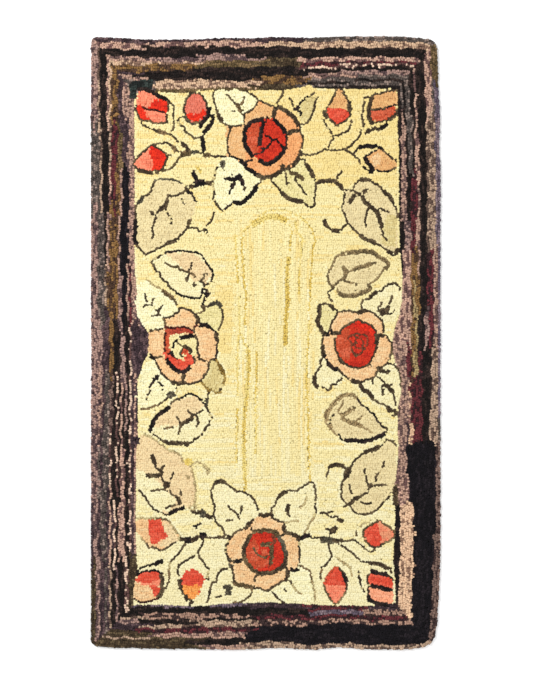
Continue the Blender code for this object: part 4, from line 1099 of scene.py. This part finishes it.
# The plain middle: arched rows of a yellower wool, and a few rows that only show in places
middlePile = {
    "panel": (-59, 100),
    "panelMiddle": -10,
    "panelReach": 262,
    "arches": [
        ("butter", 3, [(-28, 243), (-15, 250), (0, 257), (15, 260), (32, 256), (45, 249)]),
        ("honey", 1, [(5, 262), (18, 265), (33, 262)]),
        ("butter", 1, [(50, 243), (53, 232), (52, 215), (49, 190)]),
        ("butter", 2, [(47, 176), (45, 150), (44, 128)]),
        ("honey", 2, [(43, 122), (45, 95), (43, 60), (41, 30), (40, -6)]),
        ("meadow", 1, [(-48, 228), (-40, 236), (-34, 240)]),
        ("meadow", 1, [(-14, 262), (2, 270), (20, 273), (42, 272), (58, 267)]),
        ("butter", 1, [(62, 264), (76, 256), (88, 242), (98, 226), (101, 210)]),
        ("honey", 1, [(99, 204), (95, 165), (93, 130), (91, 100), (90, 60)]),
        ("butter", 1, [(89, 45), (88, 20), (86, -20)]),
        ("butter", 1, [(86, -26), (84, -80), (86, -120), (87, -160), (89, -220), (91, -284)]),
        ("butter", 1, [(60, 250), (67, 228), (76, 214)]),
        ("butter", 1, [(75, 208), (71, 170), (69, 140), (69, 100)]),
        ("honey", 1, [(-48, 218), (-48, 190), (-46, 160), (-45, 130)]),
        ("honey", 1, [(-44, 124), (-41, 95), (-42, 60), (-44, 35)]),
        ("butter", 1, [(-50, 16), (-44, 2), (-38, -8)]),
        ("butter", 2, [(-37, -12), (-36, -50), (-38, -95), (-42, -128)]),
        ("butter", 2, [(-43, -132), (-45, -180), (-45, -230), (-43, -260), (-41, -303)]),
        ("butter", 1, [(-62, 222), (-61, 190), (-59, 160), (-57, 120)]),
        ("meadow", 1, [(-55, 95), (-54, 60), (-54, 20), (-58, -10), (-58, -60), (-57, -110)]),
        ("honey", 1, [(-59, -136), (-59, -146)]), ("meadow", 1, [(-58, -156), (-60, -200), (-60, -250)]),
        ("butter", 1, [(-19, -18), (-19, -60), (-21, -98)]),
        ("butter", 1, [(-21, -105), (-20, -150), (-20, -190)]), ("meadow", 1, [(-20, -196), (-21, -226)]),
        ("butter", 1, [(-142, 360), (-136, 354), (-132, 347)]), ("butter", 1, [(-137, 360), (-131, 353)]),
    ],
}


def drawLines(lines, echo=True, closed=False):
    # a line that ends close to the start of the next runs on to it
    for i, (woolName, rows, points) in enumerate(lines):
        follower = lines[(i + 1) % len(lines)][2]
        onward = closed or i + 1 < len(lines)
        if onward and math.dist(points[-1], follower[0]) < hooking["join"]:
            points = points + follower[:1]
        if woolName:
            drawLine(smoothLine(points), woolName, rows, echo)


# Where the ground is of one wool
groundPatches = {
    "upperRight": ("straw", [(76, 520), (270, 520), (272, 318), (230, 328), (195, 338), (165, 318),
                             (105, 330), (76, 384)]),
    "upperPanel": ("straw", [(-100, -20), (-70, -20), (-66, 120), (-104, 120)]),
    "lowerLeft": ("whey", [(-262, -410), (-180, -410), (-70, -402), (-70, -536), (-262, -536)]),
    "lowerRight": ("whey", [(70, -402), (180, -408), (262, -470), (262, -536), (70, -536)]),
}


def drawMotif(motif, piece):
    ring = [point for _, _, points in motif["edge"] for point in points]
    paint(ring, motif["fill"], piece)
    for woolName, points in motif.get("spots", ()):
        paint(points, woolName, piece)
    drawLines(motif["lines"])
    drawLines(motif["edge"], closed=True)


for woolName, polygon in groundPatches.values():
    paint(polygon, woolName, "ground")
for motif in rosePile.values():
    drawMotif(motif, "flower")
for motif in budPile.values():
    drawMotif(motif, "flower")
for motif in leafPile.values():
    drawMotif(motif, "leaf")
for lines in vinePile.values():
    drawLines(lines)
drawLines(middlePile["arches"], echo=False)
print("drawn lines hooked:", len(hooked.places), "loops")


# The border: stripes at places along each side, as wool and how deep it reaches from the edge
borderPile = {
    "left": [
        (499, "dustyMauve 13, tan 17, black 34, dustyPink 38, sand 43, mustard 56, plum 64, mauve 93"),
        (410, "slate 19, tan 25, black 35, tan 41, maroon 56, olive 66, plum 76, mauve 91"),
        (320, "slate 19, tan 25, black 35, dustyPink 41, maroon 52, mustard 60, mauve 65, navy 77,"
              " mauve 91"),
        (216, "dustyMauve 13, slate 27, black 34, mauve 39, mustard 56, mauve 61, navy 76, mauve 89"),
        (109, "dustyMauve 13, slate 26, tan 34, mustard 56, dustyMauve 63, navy 75, mauve 78,"
              " maroon 84, mauve 90"),
        (-20, "dustyMauve 25, plum 37, mustard 48, black 59, dustyMauve 69, black 77, beads 82, plum 121"),
        (-120, "plum 2, dustyMauve 12, plum 16, mauve 22, plum 27, slate 37, drab 46, black 51, beads 55,"
               " black 60, dustyPink 65, black 68, dustyMauve 72, black 77, beads 83, plum 88,"
               " dustyPink 92, plum 98"),
        (-250, "plum 2, dustyMauve 16, slate 20, plum 25, slate 38, beads 43, black 50, beads 54,"
               " black 58, dustyPink 70, black 76, beads 84, plum 89, dustyPink 96"),
        (-397, "plum 4, dustyMauve 14, plum 17, slate 30, plum 36, dustyPink 42, plum 46, beads 51,"
               " black 56, dustyPink 68, black 76, beads 84, plum 89, mauve 95"),
        (-497, "umber 10, dustyMauve 19, plum 27, slate 32, plum 37, tan 42, black 50, dustyMauve 57,"
               " black 70, beads 76, umber 87"),
    ],
    "right": [
        (560, "olive 14, dustyPink 27, black 44, dustyPink 52, black 60, slate 68, black 73, slate 80,"
              " black 88"),
        (508, "purple 7, slate 12, dustyPink 27, black 44, dustyPink 52, black 60, slate 68, black 73,"
              " slate 80, black 88"),
        (403, "purple 7, slate 11, tan 27, black 42, dustyPink 50, black 57, slate 66, black 71, mauve 80,"
              " black 87"),
        (298, "purple 8, slate 11, tan 26, black 40, mauve 48, maroon 59, black 67, mauve 80, black 85"),
        (216, "purple 7, tan 26, black 41, mauve 50, maroon 59, dustyMauve 75, black 85"),
        (170, "purple 5, mauve 14, maroon 26, black 43, mauve 48, mustard 59, dustyPink 77, black 83"),
        (95, "purple 5, mauve 14, maroon 28, black 43, mustard 49, hazel 54, mustard 59, dustyPink 90"),
        (33, "purple 5, mauve 15, maroon 22, dustyMauve 34, black 44, hazel 49, mustard 59, dustyPink 96"),
        (-47, "purple 4, tan 20, black 36, maroon 48, hazel 54, mustard 58, maroon 67, mauve 96"),
        (-100, "purple 4, tan 20, black 38, maroon 62, blush 66, mauve 90"),
        (-190, "slate 4, tan 22, black 37, maroon 57, blush 64, plum 69, mauve 87"),
        (-222, "drab 9, navy 69, mauve 87"),
        (-318, "drab 10, navy 65, dustyPink 86"),
        (-342, "drab 11, navy 55, oat 84, black 94"),
        (-415, "drab 12, navy 53, oat 83, black 96"),
    ],
    "top": [
        (-304, "plum 7, dustyPink 24, black 38, mauve 47, sand 54, mustard 67, plum 75, mauve 85,"
               " slate 110"),
        (-199, "plum 3, dustyPink 16, black 36, dustyMauve 44, sand 52, mustard 65, black 83, sand 102,"
               " olive 110"),
        (-67, "plum 6, dustyPink 18, black 32, dustyMauve 45, olive 60, black 86, sand 102, olive 109"),
        (40, "plum 8, sand 17, black 43, umber 61, black 80, mustard 96, umber 108"),
        (120, "slate 10, sand 21, black 41, dustyPink 50, maroon 60, beads 65, black 74, mauve 84,"
              " slate 90, black 95, slate 102, black 109"),
        (225, "slate 9, sand 25, black 41, dustyPink 52, maroon 57, beads 62, black 71, dustyMauve 79,"
              " slate 87, black 92, slate 101, black 110"),
    ],
    "bottom": [
        (-299, "umber 19, tan 24, umber 36, plum 52, dustyMauve 58, tan 64, black 81, plum 91"),
        (-207, "umber 21, mauve 33, maroon 43, tan 50, black 61, ash 73, black 85, purple 91"),
        (-84, "mauve 11, black 25, mauve 36, maroon 46, tan 58, black 64, ash 75, black 88, purple 95"),
        (13, "tan 14, navy 48, ash 58, maroon 70, black 85, plum 95"),
        (163, "tan 11, navy 49, ash 58, maroon 68, purple 78, maroon 90"),
        (262, "tan 11, navy 50, ash 61, maroon 70, ash 81, plum 95"),
    ],
}


# Odd patches of other wools on the border
borderPatches = {
    "topLeftCorner": ("teal", [(-281, 501), (-268, 501), (-265, 519), (-254, 525), (-240, 522),
                               (-233, 519), (-233, 541), (-272, 541), (-281, 530)]),
    "leftPlum": ("plum", [(-272, -190), (-257, -196), (-261, -206), (-272, -208)]),
    "rightUpperSpur": ("umber", [(261, -142), (273, -142), (273, -149), (261, -149)]),
    "rightLowerSpur": ("umber", [(262, -295), (273, -290), (273, -337), (261, -332)]),
}


def meander(along, depth, breadth):
    # the border's rows drift in and out by a few millimetres
    sway = np.sin(along / 9.1 + depth / 11) + 0.8 * np.sin(along / 5.3 - depth / 9 + 2)
    ease = np.clip(depth / 12, 0, 1) * np.clip((breadth - depth) / 14, 0, 1)
    return 1.3 * sway * ease


def breadthOf(name, along):
    return np.abs(rugEdge[name](along) - fieldEdge[name](along))


def hookEdges():
    rim = beside(straightLine(outline), hooking["rimInset"])
    hooked.hook(rim, hooking["lineGap"])
    ends = {"left": (-538, 514), "right": (-536, 522), "bottom": (-272, 266), "top": (-270, 271)}
    for name, (axis, _) in sides.items():
        along = np.arange(*ends[name], lineStep)
        across = fieldEdge[name](along)
        line = np.column_stack((across, along) if axis == 0 else (along, across))
        for offset in (-pitch / 2, pitch / 2):
            hooked.hook(beside(line, offset), hooking["echoGap"])


def hookBorder():
    deepest = 125.0
    low, high = outline.min(axis=0), outline.max(axis=0)
    for row in range(1, int(deepest / pitch)):
        depth = hooking["rimInset"] + row * pitch
        for number, (name, (axis, way)) in enumerate(sides.items()):
            along = np.arange(low[1 - axis], high[1 - axis], lineStep)
            drift = meander(along, depth, breadthOf(name, along))
            across = rugEdge[name](along) - way * (depth + drift)
            line = np.column_stack((across, along) if axis == 0 else (along, across))
            side, _, share = borderPlace(line[:, 0], line[:, 1])
            hooked.hook(line, hooking["echoGap"], allowed=(side == number) & (share < 1))


def hookGround():
    for line in echoes:
        _, _, share = borderPlace(line[:, 0], line[:, 1])
        hooked.hook(line, hooking["echoGap"], allowed=share > 1)
    low, high = outline.min(axis=0), outline.max(axis=0)
    left, right = middlePile["panel"]
    for x in np.arange(left, right, pitch):
        y = np.arange(low[1], high[1], lineStep)
        line = np.column_stack((x + 1.2 * np.sin(y / 47 + x / 40), y))
        _, _, share = borderPlace(line[:, 0], line[:, 1])
        inPanel = np.abs(y - middlePile["panelMiddle"]) < middlePile["panelReach"]
        hooked.hook(line, hooking["groundGap"], allowed=(share > 1) & inPanel)
    for y in np.arange(low[1], high[1], pitch):
        x = np.arange(low[0], high[0], lineStep)
        line = np.column_stack((x, y + 1.5 * np.sin(x / 53 + y / 40)))
        _, _, share = borderPlace(line[:, 0], line[:, 1])
        hooked.hook(line, hooking["groundGap"], allowed=share > 1)


def hookGaps():
    height, width = hooked.nearest.shape
    x = hooked.low[0] + np.arange(width) * hooked.cell
    y = hooked.low[1] + np.arange(height) * hooked.cell
    x, y = np.meshgrid(x, y)
    inset = outline * (1 - hooking["rimInset"] / np.abs(outline).max(axis=0))
    hooked.fill(hooking["fillGap"], insidePolygon(x, y, inset))


for woolName, polygon in borderPatches.values():
    paint(polygon, woolName, "border")
hookEdges()
hookBorder()
print("border hooked:", len(hooked.places), "loops so far")
hookGround()
hookGaps()
print("ground hooked:", len(hooked.places), "loops in all")


# Which wool each loop is
places = np.array(hooked.places)
turns = np.array(hooked.turns)
rows = np.array(hooked.rows)
lineWools = np.array(hooked.wools)
count = len(places)


def runsOf(length):
    # one random number for each strip of wool, which runs over some loops of a row
    newRow = np.diff(rows, prepend=-1) != 0
    starts = newRow | (dice.random(count) < 1 / length)
    return dice.random(count)[np.cumsum(starts) - 1]


def stripeTable(text):
    names, depths = zip(*(word.split() for word in text.split(",")))
    return [woolNames.index(name) for name in names], [float(depth) for depth in depths]


def borderWools():
    x, y = places.T
    side, depth, share = borderPlace(x, y)
    chosen = np.zeros(count, int)
    mostRows = 40
    for number, (name, (axis, _)) in enumerate(sides.items()):
        table = sorted(borderPile[name])
        starts = np.array([row[0] for row in table], float)
        stripes = [stripeTable(row[1]) for row in table]
        on = np.nonzero((side == number) & (share < 1))[0]
        along = places[on, 1 - axis]
        deep = depth[on] - meander(along, depth[on], breadthOf(name, along))
        after = np.clip(np.searchsorted(starts, along), 1, len(starts) - 1)
        t = (along - starts[after - 1]) / (starts[after] - starts[after - 1])
        rowNumber = np.clip(deep / pitch, 0, mostRows - 1).astype(int)
        meeting = dice.uniform(0.25, 0.75, (len(starts), mostRows))[after, rowNumber]
        station = np.where(t < meeting, after - 1, after)
        for i, (stripeWools, reaches) in enumerate(stripes):
            here = station == i
            stripe = np.clip(np.searchsorted(reaches, deep[here]), 0, len(reaches) - 1)
            chosen[on[here]] = np.array(stripeWools)[stripe]
    return chosen, share


# The ground is yellower towards the top and paler towards the bottom: shares at places up the rug
groundShares = {
    "straw": [(-300, 0.0), (0, 0.12), (200, 0.2), (400, 0.3)],
    "whey": [(-520, 0.8), (-300, 0.45), (0, 0.15), (200, 0.0)],
    "run": 16,
}


def groundWools():
    y = places[:, 1]
    strip = runsOf(groundShares["run"])
    chosen = np.full(count, woolNames.index("cream"))
    chosen[strip < tableAlong(groundShares["straw"])(y)] = woolNames.index("straw")
    chosen[strip > 1 - tableAlong(groundShares["whey"])(y)] = woolNames.index("whey")
    return chosen


def chooseWools():
    x, y = places.T
    pieceOf = np.full(count, "ground", dtype="<U8")
    chosen = groundWools()
    border, share = borderWools()
    chosen[share < 1] = border[share < 1]
    pieceOf[share < 1] = "border"
    for polygon, number, piece in patches:
        low, high = polygon.min(axis=0), polygon.max(axis=0)
        near = np.nonzero(np.all((places > low) & (places < high), axis=1))[0]
        inside = near[insidePolygon(x[near], y[near], polygon)]
        chosen[inside] = number
        pieceOf[inside] = piece
    drawn = lineWools >= 0
    chosen[drawn] = lineWools[drawn]
    pieceOf[drawn] = "line"
    return chosen, pieceOf


def loopColours(chosen):
    # the dyes are a little deeper than they look, as the loops light one another
    dyeDepth = 0.84
    darkest, lightest = 0.6, 1.5
    colour = np.zeros((count, 3))
    for number, mix in enumerate(wools.values()):
        on = np.nonzero(chosen == number)[0]
        partner = runsOf(mix["run"])[on] < mix["share"]
        screen = np.where(partner[:, None], mix["partner"], mix["colour"])
        shade = 1 + mix["wander"] * dice.normal(0, 1, len(on))
        colour[on] = dyeDepth * linear(screen) * np.clip(shade, darkest, lightest)[:, None]
    return np.clip(colour, 0.002, 0.97)


chosen, pieceOf = chooseWools()
colours = loopColours(chosen)
print("wools chosen")


# Shader maths on sockets
class Signal:
    def __init__(self, graph, socket):
        self.graph = graph
        self.socket = socket

    def math(self, operation, first, second=None):
        values = {0: first} if second is None else {0: first, 1: second}
        return self.graph.add("ShaderNodeMath", {"operation": operation}, values)

    def __add__(self, other):
        return self.math("ADD", self, other)

    __radd__ = __add__

    def __sub__(self, other):
        return self.math("SUBTRACT", self, other)

    def __mul__(self, other):
        return self.math("MULTIPLY", self, other)

    def sine(self):
        return self.math("SINE", self)


class Graph:
    def __init__(self, name):
        self.material = bpy.data.materials.new(name)
        self.material.use_nodes = True
        self.tree = self.material.node_tree
        self.shader = self.tree.nodes["Principled BSDF"]

    def add(self, kind, settings, values, output=0):
        node = self.tree.nodes.new(kind)
        for key, value in settings.items():
            setattr(node, key, value)
        for key, value in values.items():
            self.feed(node.inputs[key], value)
        return Signal(self, node.outputs[output])

    def feed(self, socket, value):
        if isinstance(value, Signal):
            self.tree.links.new(value.socket, socket)
        else:
            socket.default_value = value

    def set(self, **values):
        for key, value in values.items():
            self.feed(self.shader.inputs[key.replace("_", " ")], value)

    def shade(self, colour, amount):
        # colour times a grey amount
        grey = self.add("ShaderNodeCombineColor", {}, {0: amount, 1: amount, 2: amount})
        return self.add(
            "ShaderNodeMix", {"data_type": "RGBA", "blend_type": "MULTIPLY"}, {0: 1.0, 6: colour, 7: grey}, 2
        )


def woolMaterial(name, fibreScale, fibreDepth, sheen):
    graph = Graph(name)
    place = graph.add("ShaderNodeTexCoord", {}, {}, "Object")
    colour = graph.add("ShaderNodeAttribute", {"attribute_name": "woolColour"}, {}, "Color")
    fibre = graph.add("ShaderNodeTexNoise", {}, {"Vector": place, "Scale": fibreScale, "Detail": 3.0})
    tuft = graph.add("ShaderNodeTexNoise", {}, {"Vector": place, "Scale": fibreScale / 4, "Detail": 2.0})
    lightness = 1.0 + (fibre - 0.5) * fibreDepth + (tuft - 0.5) * (fibreDepth * 0.7)
    bump = graph.add(
        "ShaderNodeBump", {}, {"Strength": 0.55, "Distance": 0.0006, "Height": fibre * 0.7 + tuft * 0.3}
    )
    graph.set(Base_Color=graph.shade(colour, lightness), Roughness=0.84 + fibre * 0.14, Normal=bump)
    graph.set(Sheen_Weight=sheen, Sheen_Roughness=0.45, Specular_IOR_Level=0.12)
    return graph.material


# One loop of the pile: an arch of wool strip, along the row, across it, and up
loopShape = {
    "length": 5.5,
    "width": 5.9,
    "height": 6.4,
    "heightWander": 0.03,
    "sizeWander": 0.06,
    "lean": 0.12,
    "mostLean": 0.4,
    "rooted": 0.2,
    "turnWander": 0.16,
    # painted shade: each loop's colour is darkened at its foot and shoulders, where it sinks among its
    # neighbours; closely packed loops are darkened less at the foot
    "footPaintedShade": 0.85,
    "shoulderPaintedShade": 0.97,
    "closeSpread": 1.19,
    "closeFootPaintedShade": 0.97,
}
loopVerts = np.array([
    (0, -0.30, 0), (0, 0.30, 0),
    (0.50, -0.46, 0.62), (0.50, 0.46, 0.62), (-0.50, -0.46, 0.62), (-0.50, 0.46, 0.62),
    (0.28, -0.36, 0.95), (0.28, 0.36, 0.95), (-0.28, -0.36, 0.95), (-0.28, 0.36, 0.95),
    (0, 0, 1.02),
])
loopFaces = [
    (0, 1, 3, 2), (2, 3, 7, 6), (6, 7, 10), (7, 9, 10), (9, 8, 10), (8, 6, 10), (5, 4, 8, 9),
    (1, 0, 4, 5), (1, 5, 9, 7, 3), (0, 2, 6, 8, 4),
]
footFaces = {0: 1, 7: -1}  # the faces that meet the foot along the row, and which way they look
shoulderPlace, topPlace, footPlace = 0.62, 0.3, 0.97
mapReach = 0.46


def loopMapCorners():
    # a map of one loop seen from above, its foot spread out round the rim
    corners = []
    for face, verts in enumerate(loopFaces):
        for vert in verts:
            u, v, _ = loopVerts[vert]
            ring = footPlace if vert < 2 else shoulderPlace if vert < 6 else topPlace if vert < 10 else 0
            along = np.sign(u) if vert >= 2 else footFaces.get(face, 0)
            corners.append((ring * along, ring * np.sign(v)))
    return np.array(corners)


loopCorners = loopMapCorners()


def addPile(name, which, material, close):
    n = len(which)
    size = np.column_stack([
        np.full(n, loopShape[key]) for key in ("length", "width", "height")
    ])
    size[:, :2] *= dice.normal(loopShape["closeSpread"] if close else 1, loopShape["sizeWander"], (n, 2))
    size[:, 2] *= dice.normal(1, loopShape["heightWander"], n)
    mostLean = loopShape["mostLean"]
    lean = dice.normal(0, loopShape["lean"], (n, 2)).clip(-mostLean, mostLean)
    turn = turns[which] + dice.normal(0, loopShape["turnWander"], n)
    shape = loopVerts[None] * size[:, None]
    shape[:, :, :2] += lean[:, None] * shape[:, :, 2:]
    cos, sin = np.cos(turn)[:, None], np.sin(turn)[:, None]
    x = places[which, 0][:, None] + shape[:, :, 0] * cos - shape[:, :, 1] * sin
    y = places[which, 1][:, None] + shape[:, :, 0] * sin + shape[:, :, 1] * cos
    z = foundationCloth["thickness"] - loopShape["rooted"] + shape[:, :, 2]
    verts = np.stack((x, y, z), axis=2).reshape(-1, 3) * mm
    faces = [
        tuple(start + vert for vert in face)
        for start in range(0, n * len(loopVerts), len(loopVerts)) for face in loopFaces
    ]
    mesh = bpy.data.meshes.new(name)
    mesh.from_pydata(verts.tolist(), [], faces)
    mesh.shade_smooth()
    footPaintedShade = loopShape["closeFootPaintedShade" if close else "footPaintedShade"]
    # painted shade: foot and shoulder vertices take a darker copy of the loop's colour, for the shade in the
    # crevices between loops
    shade = np.array([footPaintedShade] * 2 + [loopShape["shoulderPaintedShade"]] * 4 + [1.0] * 5)
    paintwork = np.ones((n, len(loopVerts), 4))
    paintwork[:, :, :3] = colours[which][:, None] * shade[None, :, None]
    mesh.attributes.new("woolColour", "FLOAT_COLOR", "POINT").data.foreach_set("color", paintwork.ravel())
    grid = math.ceil(math.sqrt(n))
    cells = np.column_stack((np.arange(n) % grid, np.arange(n) // grid))
    uv = (cells[:, None] + 0.5 + mapReach * loopCorners[None]) / grid
    mesh.uv_layers.new(name="OFBake").uv.foreach_set("vector", uv.ravel())
    mesh.materials.append(material)
    pile = bpy.data.objects.new(name, mesh)
    bpy.context.scene.collection.objects.link(pile)
    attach(pile, "root")
    print(name, n, "loops")
    return pile


# The foundation cloth, with its hem turned under and the backs of the stitches showing
foundationCloth = {
    "thickness": 1.5,
    "hem": 30.0,
    "hemDepth": 0.5,
    "hemFold": 0.8,
    "fillMargin": 6.0,
    "stitchPaintedShade": 0.85,
    "rim": [(2.4, 0.0), (1.2, 0.75), (2.0, 1.5)],
    "backGrid": 6.0,
    "topGrid": 8.0,
    "threadPitch": 2.0,
}


def gridPoints(step, margin):
    low, high = outline.min(axis=0) + margin, outline.max(axis=0) - margin
    x, y = np.meshgrid(np.arange(low[0], high[0], step), np.arange(low[1], high[1], step))
    return np.column_stack((x.ravel(), y.ravel()))


def fillRing(ring, step, margin):
    inner = gridPoints(step, margin)
    points = [Vector(p) for p in np.vstack((ring, inner))]
    edges = [(i, (i + 1) % len(ring)) for i in range(len(ring))]
    found, _, triangles, _, _, _ = delaunay_2d_cdt(points, edges, [], 1, 1e-6)
    return np.array([tuple(p) for p in found[len(ring):]]), triangles


def addFoundation(material):
    cloth = foundationCloth
    half = np.abs(outline).max(axis=0)
    hemEdge = outline * (1 - cloth["hem"] / half)
    recess = outline * (1 - (cloth["hem"] + cloth["hemFold"]) / half)
    closed = np.vstack((outline[-1:], outline, outline[:1]))
    rings = [(recess, cloth["hemDepth"]), (hemEdge, 0.0)]
    rings += [(beside(closed, inwards)[1:-1], height) for inwards, height in cloth["rim"]]
    n = len(outline)
    verts = [(x, y, height) for ring, height in rings for x, y in ring]
    faces = []
    for k in range(len(rings) - 1):
        for i in range(n):
            j = (i + 1) % n
            faces.append((k * n + i, k * n + j, (k + 1) * n + j, (k + 1) * n + i))
    for ring, step, margin, height, up in (
        (0, cloth["backGrid"], cloth["hem"] + cloth["fillMargin"], cloth["hemDepth"], False),
        (len(rings) - 1, cloth["topGrid"], cloth["fillMargin"], cloth["thickness"], True),
    ):
        found, triangles = fillRing(rings[ring][0], step, margin)
        first = len(verts)
        verts += [(x, y, height) for x, y in found]
        for triangle in triangles:
            face = tuple(ring * n + i if i < n else first + i - n for i in triangle)
            faces.append(face if up else face[::-1])
    mesh = bpy.data.meshes.new("foundation_cloth")
    verts = np.array(verts)
    mesh.from_pydata((verts * mm).tolist(), [], faces)
    mesh.shade_smooth()
    burlap = linear(wools["burlap"]["colour"])
    paintwork = np.ones((len(verts), 4))
    paintwork[:, :3] = burlap
    # the cloth under each loop takes that loop's wool colour: on the back as the backs of the stitches, and
    # on top where the cloth shows down between the loops; the colour is darkened as painted shade
    columns, lines = hooked.cellOf(verts[:, :2]).T
    owner = hooked.owner[lines, columns]
    stitched = np.isin(verts[:, 2], (cloth["hemDepth"], cloth["thickness"])) & (owner >= 0)
    paintwork[stitched, :3] = colours[owner[stitched]] * cloth["stitchPaintedShade"]
    mesh.attributes.new("woolColour", "FLOAT_COLOR", "POINT").data.foreach_set("color", paintwork.ravel())
    mesh.materials.append(material)
    foundation = bpy.data.objects.new("foundation_cloth", mesh)
    bpy.context.scene.collection.objects.link(foundation)
    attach(foundation, "root")
    return foundation


def clothMaterial():
    graph = Graph("burlap_foundation")
    place = graph.add("ShaderNodeTexCoord", {}, {}, "Object")
    x = graph.add("ShaderNodeSeparateXYZ", {}, {"Vector": place}, "X")
    y = graph.add("ShaderNodeSeparateXYZ", {}, {"Vector": place}, "Y")
    turnsPerMetre = 2 * math.pi / (foundationCloth["threadPitch"] * mm)
    weave = (x * turnsPerMetre).sine() * (y * turnsPerMetre).sine()
    colour = graph.add("ShaderNodeAttribute", {"attribute_name": "woolColour"}, {}, "Color")
    slub = graph.add("ShaderNodeTexNoise", {}, {"Vector": place, "Scale": 260.0, "Detail": 3.0})
    lightness = 0.92 + weave * 0.12 + (slub - 0.5) * 0.5
    bump = graph.add(
        "ShaderNodeBump", {}, {"Strength": 0.6, "Distance": 0.0005, "Height": weave * 0.5 + slub}
    )
    graph.set(Base_Color=graph.shade(colour, lightness), Roughness=0.9 + slub * 0.08, Normal=bump)
    graph.set(Sheen_Weight=0.1, Specular_IOR_Level=0.2)
    return graph.material


foundation = addFoundation(clothMaterial())
print("foundation cloth made")

borderWool = woolMaterial("border_wool", 620.0, 0.9, 0.04)
groundWool = woolMaterial("ground_wool", 560.0, 0.35, 0.05)
flowerWool = woolMaterial("flower_wool", 600.0, 0.5, 0.05)
x, y = places.T
side, _, _ = borderPlace(x, y)
isBorder = pieceOf == "border"
pieces = {
    "border_loops_left": (isBorder & (side == 0), borderWool, False),
    "border_loops_right": (isBorder & (side == 1), borderWool, False),
    "border_loops_bottom": (isBorder & (side == 2), borderWool, False),
    "border_loops_top": (isBorder & (side == 3), borderWool, False),
    "ground_loops_upper": ((pieceOf == "ground") & (y > 0), groundWool, True),
    "ground_loops_lower": ((pieceOf == "ground") & (y <= 0), groundWool, True),
    "leaf_loops": (pieceOf == "leaf", groundWool, True),
    "flower_loops": (pieceOf == "flower", flowerWool, True),
    "line_loops": (pieceOf == "line", flowerWool, False),
}
piles = [
    addPile(name, np.nonzero(on)[0], material, close)
    for name, (on, material, close) in pieces.items()
]
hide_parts("hooked_rug")


# Floor, light and camera
studio = {
    "floorSize": 40.0,
    "floorPlace": (0, 0, -0.0002),
    "floorColour": (0.92, 0.92, 0.92, 1.0),
    "skyStrength": 0.75,
    "lamps": [
        {"place": (-1.5, 1.2, 2.2), "size": 1.6, "power": 70.0},
        {"place": (1.6, -0.9, 2.4), "size": 2.0, "power": 30.0},
    ],
    "lens": 85.0,
    "sensor": 36.0,
    "seenHeight": 1.4077,
    "aim": (0.0016, 0.0011),
}


def addFloor():
    bpy.ops.object.select_all(action="DESELECT")
    bpy.ops.mesh.primitive_plane_add(size=studio["floorSize"], location=studio["floorPlace"])
    floor = bpy.context.object
    floor.name = "studio_floor"
    bpy.ops.object.transform_apply(location=True)
    graph = Graph("studio_floor")
    graph.set(Base_Color=studio["floorColour"], Roughness=0.9)
    floor.data.materials.append(graph.material)
    return floor


def addLights():
    world = bpy.data.worlds.new("studio")
    bpy.context.scene.world = world
    world.use_nodes = True
    world.node_tree.nodes["Background"].inputs["Color"].default_value = (1, 1, 1, 1)
    world.node_tree.nodes["Background"].inputs["Strength"].default_value = studio["skyStrength"]
    for lamp in studio["lamps"]:
        bpy.ops.object.light_add(type="AREA", location=lamp["place"])
        light = bpy.context.object
        light.data.shape = "DISK"
        light.data.size = lamp["size"]
        light.data.energy = lamp["power"]
        light.rotation_euler = (-light.location).to_track_quat("-Z", "Y").to_euler()


def addCamera():
    distance = studio["seenHeight"] * studio["lens"] / studio["sensor"]
    bpy.ops.object.camera_add(location=(*studio["aim"], cadBox[1].z + distance), rotation=(0, 0, 0))
    camera = bpy.context.object
    camera.data.lens = studio["lens"]
    camera.data.sensor_fit = "VERTICAL"
    camera.data.sensor_height = studio["sensor"]
    bpy.context.scene.camera = camera


floor = addFloor()
addLights()
addCamera()
bpy.context.scene.view_settings.view_transform = "Standard"
print("studio ready")
